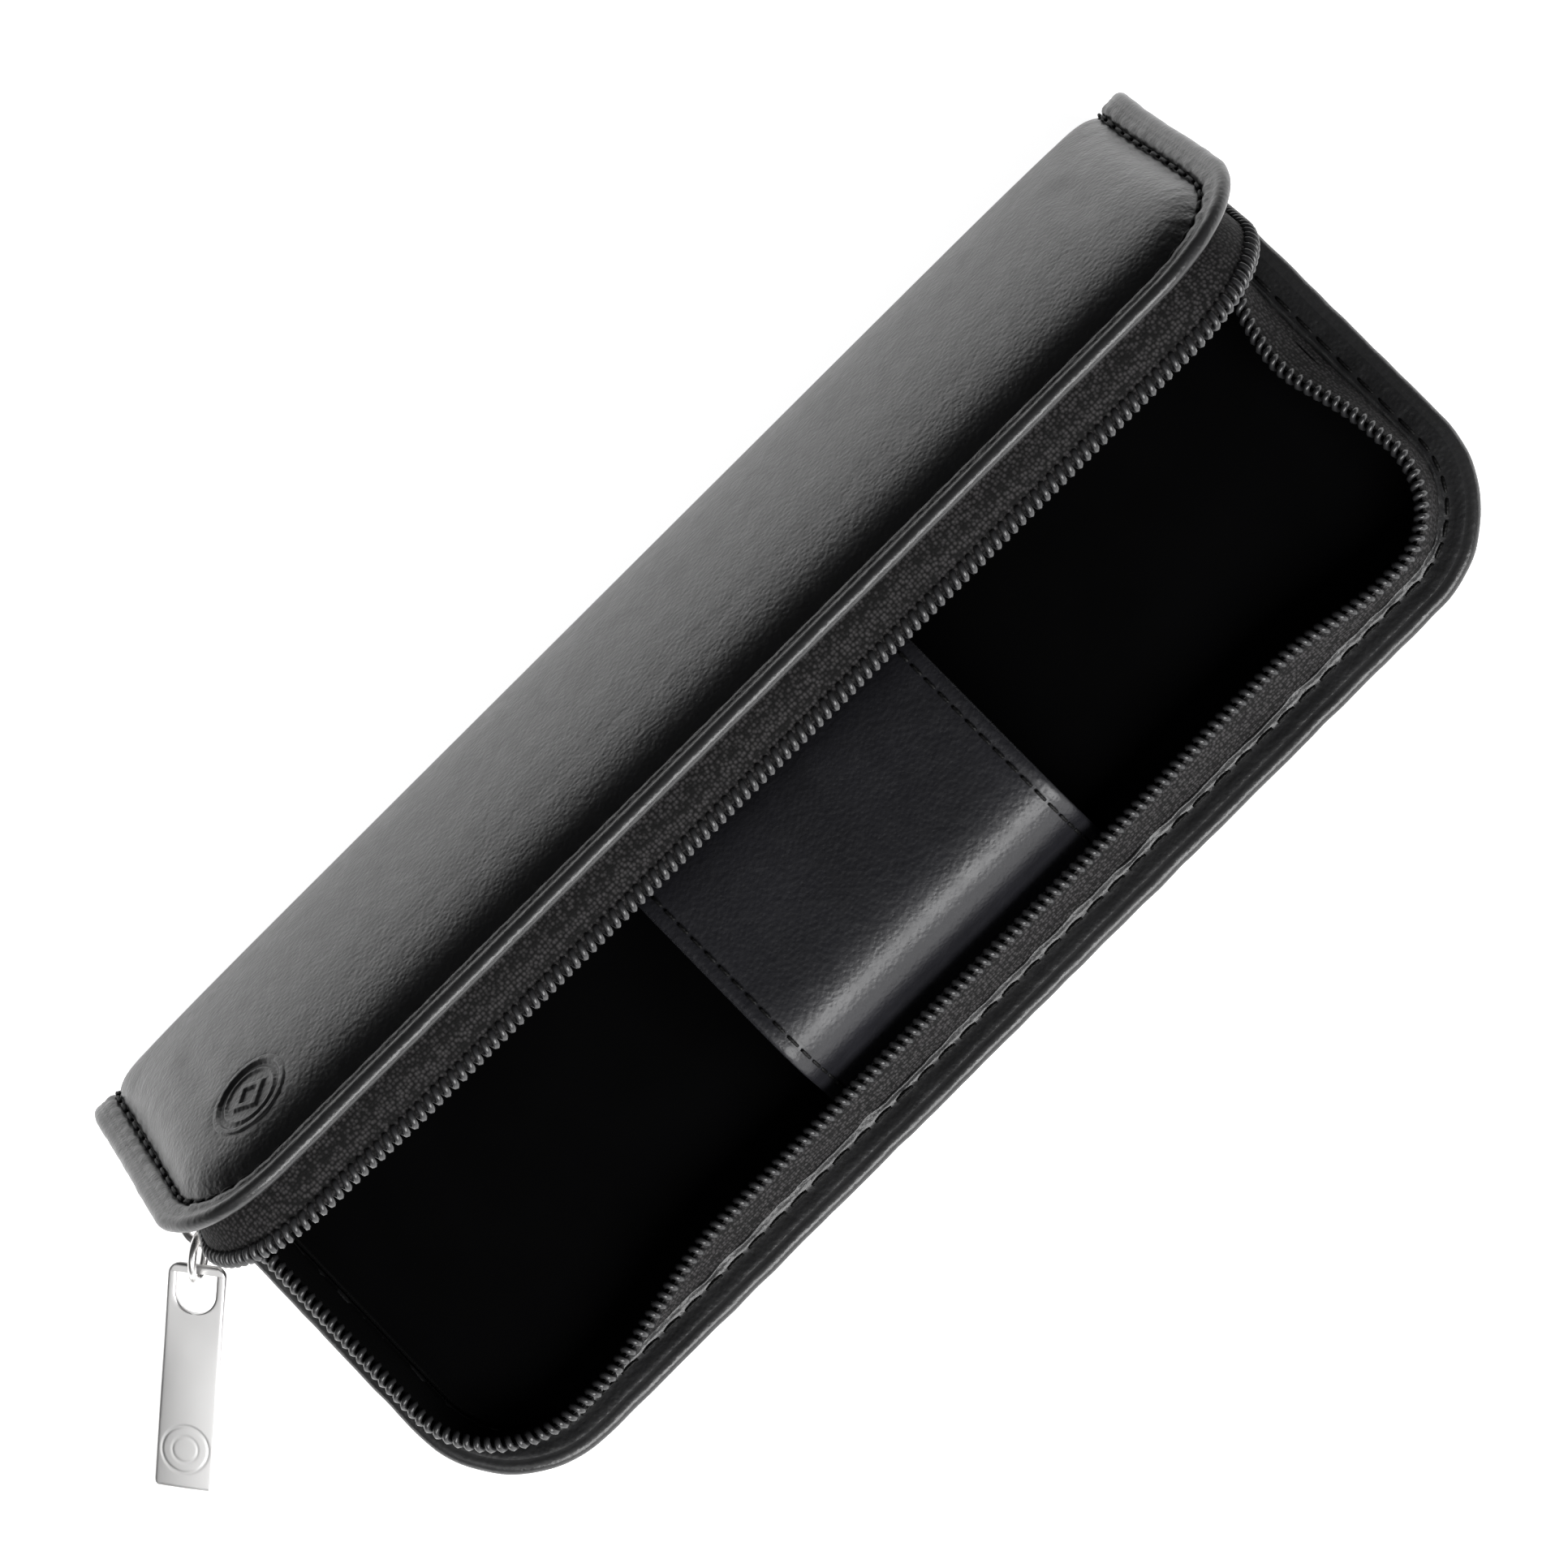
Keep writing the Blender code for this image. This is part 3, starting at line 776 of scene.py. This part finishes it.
LINING_INSET = 5.3
LINING_CELLS_X, LINING_CELLS_W = 84, 120
LINING_BORDER = np.array([0.0, 0.2, 0.4, 0.6, 0.8, 1.1, 1.5, 2.0, 2.6])
BORDER_WIDTH = 3.4
LID_LINING_EXTRA = 1.3
LINING_ROLL, LINING_TUCK = 1.2, 2.4


def bordered(low, high, count):
    """Places from low to high, close together in a border at both ends."""
    middle = np.linspace(low + BORDER_WIDTH, high - BORDER_WIDTH, count)
    return np.concatenate([low + LINING_BORDER, middle, high - LINING_BORDER[::-1]])


def past_corner(x, w):
    """How far each place on the flat cover is past its nearest corner's centre, and whether both are."""
    over_x = np.abs(x) - (END_X - CORNER)
    over_w = np.maximum(CORNER - w, w - (TOTAL - CORNER))
    return over_x, over_w, (over_x > 0) & (over_w > 0)


def rounded(x, w):
    """The places of a square-cornered grid drawn in to round corners."""
    over_x, over_w, corner = past_corner(x, w)
    pull = np.maximum(over_x, over_w) / np.maximum(np.hypot(over_x, over_w), 1e-6)
    round_x = np.sign(x) * (END_X - CORNER + over_x * pull)
    round_w = TOTAL / 2 + np.sign(w - TOTAL / 2) * (TOTAL / 2 - CORNER + over_w * pull)
    return np.where(corner, round_x, x), np.where(corner, round_w, w)


def lining_sheet():
    """The velour that covers both boards and runs round the spine, its edge turned up against the tapes."""
    xs = bordered(LINING_INSET - END_X, END_X - LINING_INSET, LINING_CELLS_X)
    ws = bordered(LINING_INSET, TOTAL - LINING_INSET, LINING_CELLS_W)
    grid_x, grid_w = rounded(*(v.ravel() for v in np.meshgrid(xs, ws)))
    over_x, over_w, corner = past_corner(grid_x, grid_w)
    edge = np.minimum(END_X - np.abs(grid_x), np.minimum(grid_w, TOTAL - grid_w)) - LINING_INSET
    edge = np.where(corner, CORNER - LINING_INSET - np.hypot(over_x, over_w), edge)
    roll = LINING_ROLL * np.exp(-np.maximum(edge - 0.8, 0) / 0.9) - LINING_TUCK * smooth(edge, 0.7, 0.0)
    level = LINING_TOP + LID_LINING_EXTRA * smooth(grid_w, FLAT + SPINE * 0.5, FLAT + SPINE) + roll
    rumple = 0.12 * noise_over(grid_x, grid_w, 14.0, 2.0)
    points = skin(grid_x, grid_w, level + rumple)
    obj = mesh_object("velour_lining", points, grid_faces(len(ws), len(xs)), LINING)
    return obj, 2 * (END_X - LINING_INSET), TOTAL - 2 * LINING_INSET


GUSSET_ROWS, GUSSET_COLUMNS = 13, 9
GUSSET_LAP = 0.18
GUSSET_START, GUSSET_WIDE = 0.8, 6.5
GUSSET_INSET, GUSSET_THICK = 0.4, 0.5
PLEAT = 0.35


def gusset(side):
    """The pleated end of the tape between the two halves at one end of the spine."""
    x = side * (END_X - WALL_INSET)
    points = []
    for i in range(GUSSET_ROWS):
        turn = math.pi + GUSSET_LAP - (OPEN + 2 * GUSSET_LAP) * i / (GUSSET_ROWS - 1)
        for j in range(GUSSET_COLUMNS):
            outward = j / (GUSSET_COLUMNS - 1)
            reach = GUSSET_START + GUSSET_WIDE * outward
            pleat = PLEAT * math.sin(i * math.pi / 2) * outward
            y = HINGE_Y + reach * math.cos(turn)
            z = HINGE_Z + reach * math.sin(turn)
            points.append((x - side * (GUSSET_INSET + pleat), y, z))
    name = "gusset_left" if side < 0 else "gusset_right"
    obj = mesh_object(name, points, grid_faces(GUSSET_ROWS, GUSSET_COLUMNS), TAPE)
    thick = obj.modifiers.new("thickness", "SOLIDIFY")
    thick.thickness = GUSSET_THICK * MM
    return obj


BAND_LOW, BAND_HIGH = (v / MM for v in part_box("pen_band"))
BAND_SPREAD = 1.1
BAND_SEAM = 1.9
BAND_THICK = 1.2
BAND_FOOT, BAND_SHOULDER = 2.3, 6.2
BAND_FILLET, BAND_LIP, SEAM_DEPTH, BAND_CREASE = 0.35, 0.14, 0.16, 0.08
BAND_TURNS, BAND_SOFTENING = 12, 40
BAND_POINTS = 90
BAND_EDGE = np.array([-1, -0.995, -0.985, -0.97, -0.95, -0.93, -0.91, -0.89, -0.86])


def band_profile(offset):
    """The band's (y, z) line at a distance outwards from its outer face, evenly spaced and softened."""
    front, back, top = BAND_LOW.y + BAND_FOOT, BAND_HIGH.y - BAND_FOOT, BAND_HIGH.z
    foot_z = BAND_LOW.z + BAND_THICK + offset
    radius = BAND_SHOULDER + offset
    line = [(BAND_LOW.y, foot_z - 0.1), (front - offset - 0.5, foot_z)]
    for centre, first in ((front + BAND_SHOULDER, 180), (back - BAND_SHOULDER, 90)):
        for k in range(BAND_TURNS + 1):
            turn = math.radians(first - 90 * k / BAND_TURNS)
            line.append((centre + radius * math.cos(turn), top - BAND_SHOULDER + radius * math.sin(turn)))
    line = np.array([*line, (back + offset + 0.5, foot_z), (BAND_HIGH.y, foot_z - 0.1)])
    run = run_along(line)
    ats = np.linspace(0, run[-1], BAND_POINTS)
    line = np.stack([np.interp(ats, run, column) for column in line.T], 1)
    for _ in range(BAND_SOFTENING):
        line[1:-1] = (line[:-2] + 2 * line[1:-1] + line[2:]) / 4
    return line


def pen_band():
    """The arched strap: softly creased on top, with a lip and a sunk seam along each free edge."""
    half = (BAND_HIGH.x - BAND_LOW.x) / 2 + BAND_SPREAD
    middle = (BAND_HIGH.x + BAND_LOW.x) / 2
    outer, inner = band_profile(0.0), band_profile(-BAND_THICK)
    outward = unit(outer - inner)
    along = np.linspace(0, 9, BAND_POINTS)
    xs = np.concatenate([BAND_EDGE, np.linspace(-0.82, 0.82, 50), -BAND_EDGE[::-1]]) * half

    def row(x, line):
        return np.column_stack([np.full(BAND_POINTS, middle + x), line])

    rows = []
    for x in xs:
        edge = half - abs(x)
        fillet = BAND_FILLET * math.exp(-edge / 0.12)
        seam = BAND_LIP * bell(edge, 0.8, 0.5) - SEAM_DEPTH * bell(edge, BAND_SEAM, 0.35)
        crease = BAND_CREASE * np.sin(along + x / 7) * math.sin(x / 9)
        rows.append(row(x, outer + outward * (seam - fillet + crease[:, None])))
    rows += [row(x, inner) for x in xs[::-1]]
    count, wide = len(rows), BAND_POINTS
    last = (count - 1) * wide
    faces = grid_faces(count, wide)
    faces += [(last + j, last + j + 1, j + 1, j) for j in range(wide - 1)]
    faces.append(tuple(i * wide for i in reversed(range(count))))
    faces.append(tuple(i * wide + wide - 1 for i in range(count)))
    return mesh_object("pen_band_leather", np.concatenate(rows), faces, BAND_LEATHER)


BAND_STITCH_PITCH = 2.2
BAND_THREAD_R = 0.2
BAND_THREAD_SINK, BAND_THREAD_BOW = 0.06, 0.14
BAND_STITCH_POINTS = 6


def band_stitches(name, x):
    """One row of short threads over the band, each with its ends sunk in the seam."""
    line = band_profile(0.0)
    run = run_along(line)
    count = int(run[-1] / BAND_STITCH_PITCH)
    pitch = run[-1] / count
    gap = (1 - THREAD_SHARE) / 2
    lift = BAND_THREAD_BOW * np.sin(np.linspace(0, np.pi, BAND_STITCH_POINTS)) - BAND_THREAD_SINK
    parts = []
    for k in range(count):
        ats = np.linspace((k + gap) * pitch, (k + 1 - gap) * pitch, BAND_STITCH_POINTS)
        y, z = (np.interp(ats, run, column) for column in line.T)
        step = unit(np.stack([np.gradient(y), np.gradient(z)], 1))
        path = np.stack([0 * y + x, y - step[:, 1] * lift, z + step[:, 0] * lift], 1)
        parts.append(tube(path, BAND_THREAD_R, up=(1, 0, 0)))
    return mesh_object(name, *joined(parts), THREAD)


# Metal parts


SLIDER_LOW, SLIDER_HIGH = (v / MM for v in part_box("slider_body"))
SLIDER_Y = (SLIDER_LOW.y + SLIDER_HIGH.y) / 2
SLIDER_Z = (SLIDER_LOW.z + SLIDER_HIGH.z) / 2
PLATE_STEPS = np.linspace(-1, 1, 15)
PLATE_LIP = [(0.0, 0.5), (0.35, 0.0), (1.4, 0.0), (1.4, 0.9), (1.0, 1.0)]
POST_INSET = 0.6


def bevelled(obj, width):
    """The object with its sharp edges rounded."""
    bevel = obj.modifiers.new("bevel", "BEVEL")
    bevel.width = width * MM
    bevel.segments = 3
    bevel.limit_method = "ANGLE"
    return obj


def slider_plate(outer, direction):
    """One waisted plate of the slider with its rolled lips, from its outer face towards the coil."""
    half_y = (SLIDER_HIGH.y - SLIDER_LOW.y) / 2
    half_z = (SLIDER_HIGH.z - SLIDER_LOW.z) / 2
    widths = half_z * (1 - 0.16 * smooth(PLATE_STEPS, 0.1, 1.0)) * (1 - 0.30 * np.abs(PLATE_STEPS) ** 10)
    rows = []
    for step, wide in zip(PLATE_STEPS, widths):
        section = [(a, b - wide) for a, b in PLATE_LIP]
        section += [(a, wide - b) for a, b in reversed(PLATE_LIP)]
        y = SLIDER_Y + step * half_y
        rows.append([(outer + direction * a, y, SLIDER_Z + b) for a, b in section])
    columns = len(rows[0])
    faces = grid_faces(len(rows), columns, around=True) + end_faces(len(rows), columns)
    return np.array(rows).reshape(-1, 3), turned_over(faces) if direction < 0 else faces


def slider_post():
    """The wedge between the plates at the mouth, which parts the two coils."""
    outline = [(0, 0), (1.2, -0.6), (3.2, -0.3), (3.4, 0), (3.2, 0.3), (1.2, 0.6)]
    ends = (SLIDER_LOW.x + POST_INSET, SLIDER_HIGH.x - POST_INSET)
    points = [(x, SLIDER_LOW.y + POST_INSET + y, SLIDER_Z + z) for x in ends for y, z in outline]
    count = len(outline)
    faces = [tuple(range(count)), tuple(reversed(range(count, 2 * count)))]
    for j in range(count):
        k = (j + 1) % count
        faces.append((k, j, count + j, count + k))
    return np.array(points), faces


def slider_body():
    """Two plates astride the coil, joined by the post."""
    plates = [slider_plate(SLIDER_LOW.x, 1), slider_plate(SLIDER_HIGH.x, -1)]
    return bevelled(mesh_object("zip_slider", *joined([*plates, slider_post()]), METAL), 0.16)


BAR_R, BAR_SIDES = 0.5, 14
BAIL_R = 2.4
BAIL_REACH = 88
RING_R = 2.7

TAB_HINGE = np.array(joints["tab_swing"]["pos_m"]) / MM
TAB_AXIS = np.array(joints["tab_swing"]["axis"])
TAB_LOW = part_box("pull_tab")[0].z / MM
TAB_AWAY = np.array((-TAB_AXIS[1], TAB_AXIS[0], 0.0))


def bail():
    """The half-round bar on the slider's outer plate."""
    centre = np.array(joints["link_turn"]["pos_m"]) / MM
    turns = np.radians(np.linspace(-BAIL_REACH, BAIL_REACH, 33))[:, None]
    path = centre + BAIL_R * (np.sin(turns) * (0, 1, 0) - np.cos(turns) * (1, 0, 0))
    points, faces = tube(path, BAR_R, sides=BAR_SIDES)
    return mesh_object("slider_bail_bar", points, faces, METAL)


def pull_ring():
    """The upright ring between the bail and the tab."""
    turns = np.linspace(0, 2 * np.pi, 64, endpoint=False)[:, None]
    path = TAB_HINGE + RING_R * (np.cos(turns) * TAB_AWAY + np.sin(turns) * UP)
    points, faces = tube(path, BAR_R, sides=BAR_SIDES, closed=True, up=TAB_AXIS)
    return mesh_object("pull_link_ring", points, faces, METAL)


TAB_START, TAB_END = 1.0, 27.6
TAB_HALF = 3.5
TAB_HALF_THICK = 0.6
TAB_CORNER_NEAR, TAB_CORNER_FAR = 1.3, 0.7
TAB_CROWN, CROWN_ROOM = 0.18, 0.20
TAB_END_LIFT = 0.54
HOLE_START, HOLE_END, HOLE_HALF = 2.0, 6.8, 2.4
MARK_AT, MARK_R = 22.9, 2.75
MARK_DEPTH, MARK_WIDTH = 0.05, 0.14
EDGE_FILLET, HOLE_FILLET = 0.22, 0.15


def corner_loss(distance, radius):
    """How much a round corner takes off the half width at a distance from the tab's end."""
    inward = np.clip(radius - distance, 0, radius)
    return radius - np.sqrt(np.maximum(radius**2 - inward**2, 0))


def tab_half_width(u):
    """Half the tab's width at u along it, its ends rounded."""
    near = corner_loss(u - TAB_START, TAB_CORNER_NEAR)
    far = corner_loss(TAB_END - u, TAB_CORNER_FAR)
    return TAB_HALF * (1 - 0.02 * smooth(u, 20, 8)) - near - far


def tab_hole(u):
    """Half the hole's width at u: square at the bar, half round at its far end."""
    centre = HOLE_END - HOLE_HALF
    round_end = np.sqrt(np.maximum(HOLE_HALF**2 - np.maximum(u - centre, 0) ** 2, 0))
    return np.where((u > HOLE_START) & (u < HOLE_END), np.minimum(round_end, HOLE_HALF), 0.0)


def tab_stations():
    """Places along the tab, close together at its ends and at the hole."""
    near = [TAB_START + v for v in (0, 0.04, 0.12, 0.25, 0.45, 0.7, 0.97, 1.0)]
    hole = np.linspace(HOLE_START + 0.02, HOLE_END - 0.02, 34)
    plate = np.linspace(HOLE_END + 0.1, TAB_END - 0.8, 120)
    far = [TAB_END - v for v in (0.6, 0.4, 0.25, 0.12, 0.04, 0)]
    return np.concatenate([near, hole, [HOLE_END], plate, far])


def tab_levels(u, v, wide, hole):
    """Heights of the tab's top and bottom at u along it and v across it."""
    edge = np.minimum(np.minimum(wide - v, u - TAB_START), TAB_END - u)
    hole_edge = np.where(hole > 0, v - hole, FAR)
    rounding = EDGE_FILLET * np.exp(-np.maximum(edge, 0) / 0.10) + HOLE_FILLET * np.exp(-hole_edge / 0.12)
    crowning = TAB_CROWN * (1 - (v / TAB_HALF) ** 2) * smooth(u, 5.0, 16.0)
    distance = np.hypot(u - MARK_AT, v)
    mark = bell(distance, MARK_R, MARK_WIDTH) + 0.6 * bell(distance, 0.55 * MARK_R, MARK_WIDTH)
    top = TAB_HALF_THICK - CROWN_ROOM + crowning - rounding - MARK_DEPTH * mark
    return top, rounding - TAB_HALF_THICK


def tab_faces(count_u, count_v, hole, side):
    """Faces of one half of the tab: its top, its bottom, its outer side, the hole's side and both ends."""
    size = count_u * count_v
    faces = []

    def wall(a, step, forward):
        quad = (a, a + step, size + a + step, size + a)
        faces.append(quad if forward else quad[::-1])

    for i in range(count_u - 1):
        for j in range(count_v - 1):
            a = i * count_v + j
            quad = (a, a + 1, a + count_v + 1, a + count_v)
            low = tuple(size + k for k in quad)
            faces += [quad, low[::-1]] if side < 0 else [quad[::-1], low]
        if hole[i] > 0 or hole[i + 1] > 0:
            wall(i * count_v, count_v, side > 0)
        wall((i + 1) * count_v - 1, count_v, side < 0)
    for j in range(count_v - 1):
        wall(j, 1, side > 0)
        wall(size - count_v + j, 1, side < 0)
    return faces


def welded(obj):
    """The object with its touching points merged, its faces turned outwards and its edges sharp."""
    bm = bmesh.new()
    bm.from_mesh(obj.data)
    bmesh.ops.remove_doubles(bm, verts=bm.verts, dist=1e-6)
    bmesh.ops.recalc_face_normals(bm, faces=bm.faces)
    bm.to_mesh(obj.data)
    bm.free()
    obj.data.shade_smooth()
    obj.data.set_sharp_from_angle(angle=math.radians(50))
    return obj


def pull_tab():
    """A slightly crowned plate with a hole at its ring end and a pressed ring mark near its free end."""
    stations = tab_stations()
    wide, hole = tab_half_width(stations)[:, None], tab_hole(stations)[:, None]
    v = hole + (wide - hole) * np.linspace(0, 1, 34)
    u = np.broadcast_to(stations[:, None], v.shape)
    droop = math.asin((TAB_HINGE[2] - TAB_END_LIFT - TAB_LOW) / TAB_END)
    run = TAB_AWAY * math.cos(droop) - UP * math.sin(droop)
    thick = TAB_AWAY * math.sin(droop) + UP * math.cos(droop)
    parts = []
    for side in (1, -1):
        flat = TAB_HINGE + u[..., None] * run + side * v[..., None] * TAB_AXIS
        layers = [flat + level[..., None] * thick for level in tab_levels(u, v, wide, hole)]
        points = np.concatenate([layer.reshape(-1, 3) for layer in layers])
        parts.append((points, tab_faces(*u.shape, hole[:, 0], side)))
    return welded(mesh_object("pull_tab_plate", *joined(parts), TAB_METAL))


# Studio


CAMERA_DISTANCE = 1300.0
CAMERA_TILT = math.radians(14.0)
CAMERA_SIDE = math.radians(1.6)
CAMERA_ROLL = math.radians(44.45)
CAMERA_TARGET = Vector((-0.5, 10.05, 0.0))
CAMERA_LENS = 260.2


def camera():
    """The camera looks down at the case from the front of straight above, rolled about its own line."""
    data = bpy.data.cameras.new("camera")
    data.lens = CAMERA_LENS
    data.sensor_width = 36
    obj = bpy.data.objects.new("camera", data)
    bpy.context.scene.collection.objects.link(obj)
    back = Vector((math.sin(CAMERA_SIDE), -math.sin(CAMERA_TILT), math.cos(CAMERA_TILT))).normalized()
    level = Vector((0, 1, 0)).cross(back).normalized()
    above = back.cross(level)
    right = level * math.cos(CAMERA_ROLL) - above * math.sin(CAMERA_ROLL)
    up = level * math.sin(CAMERA_ROLL) + above * math.cos(CAMERA_ROLL)
    place = (CAMERA_TARGET + back * CAMERA_DISTANCE) * MM
    obj.matrix_world = Matrix.Translation(place) @ Matrix((right, up, back)).transposed().to_4x4()
    bpy.context.scene.camera = obj


LAMP_AIM = Vector((0, 0, 0.02))


def softbox(name, place, size, power):
    """A rectangular lamp aimed at the case, in metres and watts."""
    data = bpy.data.lights.new(name, "AREA")
    data.shape = "RECTANGLE"
    data.size, data.size_y = size
    data.energy = power
    obj = bpy.data.objects.new(name, data)
    bpy.context.scene.collection.objects.link(obj)
    obj.location = place
    obj.rotation_euler = (LAMP_AIM - Vector(place)).to_track_quat("-Z", "Y").to_euler()


FLOOR_HALF = 4.0
FLOOR_GLOW = 0.9
SKY = (0.9, 0.92, 0.95, 1)
SKY_STRENGTH = 0.06


def studio():
    """A pale floor that glows a little, a dim sky, a long lamp in front and a small one at the left."""
    corners = np.array([(-1, -1, 0), (1, -1, 0), (1, 1, 0), (-1, 1, 0)]) * FLOOR_HALF / MM
    floor = mesh_object("floor", corners, [(0, 1, 2, 3)], [])
    glow = {"Emission_Color": (1, 1, 1, 1), "Emission_Strength": FLOOR_GLOW}
    material, _, _ = shader_of("pale_floor", (0.93, 0.93, 0.93), 0.9, **glow)
    floor.data.materials.append(material)
    world = bpy.data.worlds.new("studio")
    bpy.context.scene.world = world
    world.use_nodes = True
    background = world.node_tree.nodes["Background"]
    background.inputs[0].default_value = SKY
    background.inputs[1].default_value = SKY_STRENGTH
    softbox("front_strip", (-0.06, -0.8, 0.6), (1.2, 0.42), 20.5)
    softbox("left_fill", (-0.62, -0.18, 0.9), (0.55, 0.55), 1.5)
    bpy.context.scene.view_settings.view_transform = "Standard"


# Assembly


def build_base_and_lid():
    cover = leather_cover()
    sewn = stitches(STITCH_OUTSIDE, 1, "rim_stitches")
    backs = stitches(STITCH_INSIDE, -1, "rim_stitches_inside")
    lining, wide, long = lining_sheet()
    for piece in (cover, sewn, backs, lining):
        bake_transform(piece)
    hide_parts("base_cover", "lid_cover", "base_edge_roll", "lid_edge_roll")
    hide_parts("base_edge_thread", "lid_edge_thread")
    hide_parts("base_lining", "lid_lining", "base_spine_lining", "lid_spine_lining")
    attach(medallion(), "lid")
    for side in (-1, 1):
        piece = gusset(side)
        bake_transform(piece)
    for body in ("base", "lid"):
        tape, coil = zip_tape(body), zip_coil(body)
        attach(tape, body)
        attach(coil, body)
        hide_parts(f"{body}_zip_tape")
        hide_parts(f"{body}_zip_coil")


def build_band():
    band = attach(pen_band(), "base")
    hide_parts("pen_band")
    for name, node_name, x in (
        ("band_stitches_left", "band_thread_left", BAND_LOW.x - BAND_SPREAD + BAND_SEAM),
        ("band_stitches_right", "band_thread_right", BAND_HIGH.x + BAND_SPREAD - BAND_SEAM),
    ):
        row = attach(band_stitches(name, x), "base")
        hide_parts(node_name)


def build_metal():
    for piece, body, node_name in (
        (slider_body(), "slider", "slider_body"),
        (bail(), "slider", "slider_bail"),
        (pull_ring(), "pull_ring", "pull_ring"),
        (pull_tab(), "pull_tab", "pull_tab"),
    ):
        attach(piece, body)
        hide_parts(node_name)


def finish_cad_nodes():
    looks = {"base_board": CARD, "lid_board": CARD, "lid_foam": FOAM}
    looks |= {name: METAL for name in ("zip_bottom_stop", "base_top_stop", "lid_top_stop")}
    for name, material in looks.items():
        obj = frame["nodes"][name]
        obj.data.materials.clear()
        obj.data.materials.append(material)
        if material is METAL:
            bevelled(obj, 0.3)


camera()
build_base_and_lid()
build_band()
build_metal()
finish_cad_nodes()
studio()

bpy.context.view_layer.update()
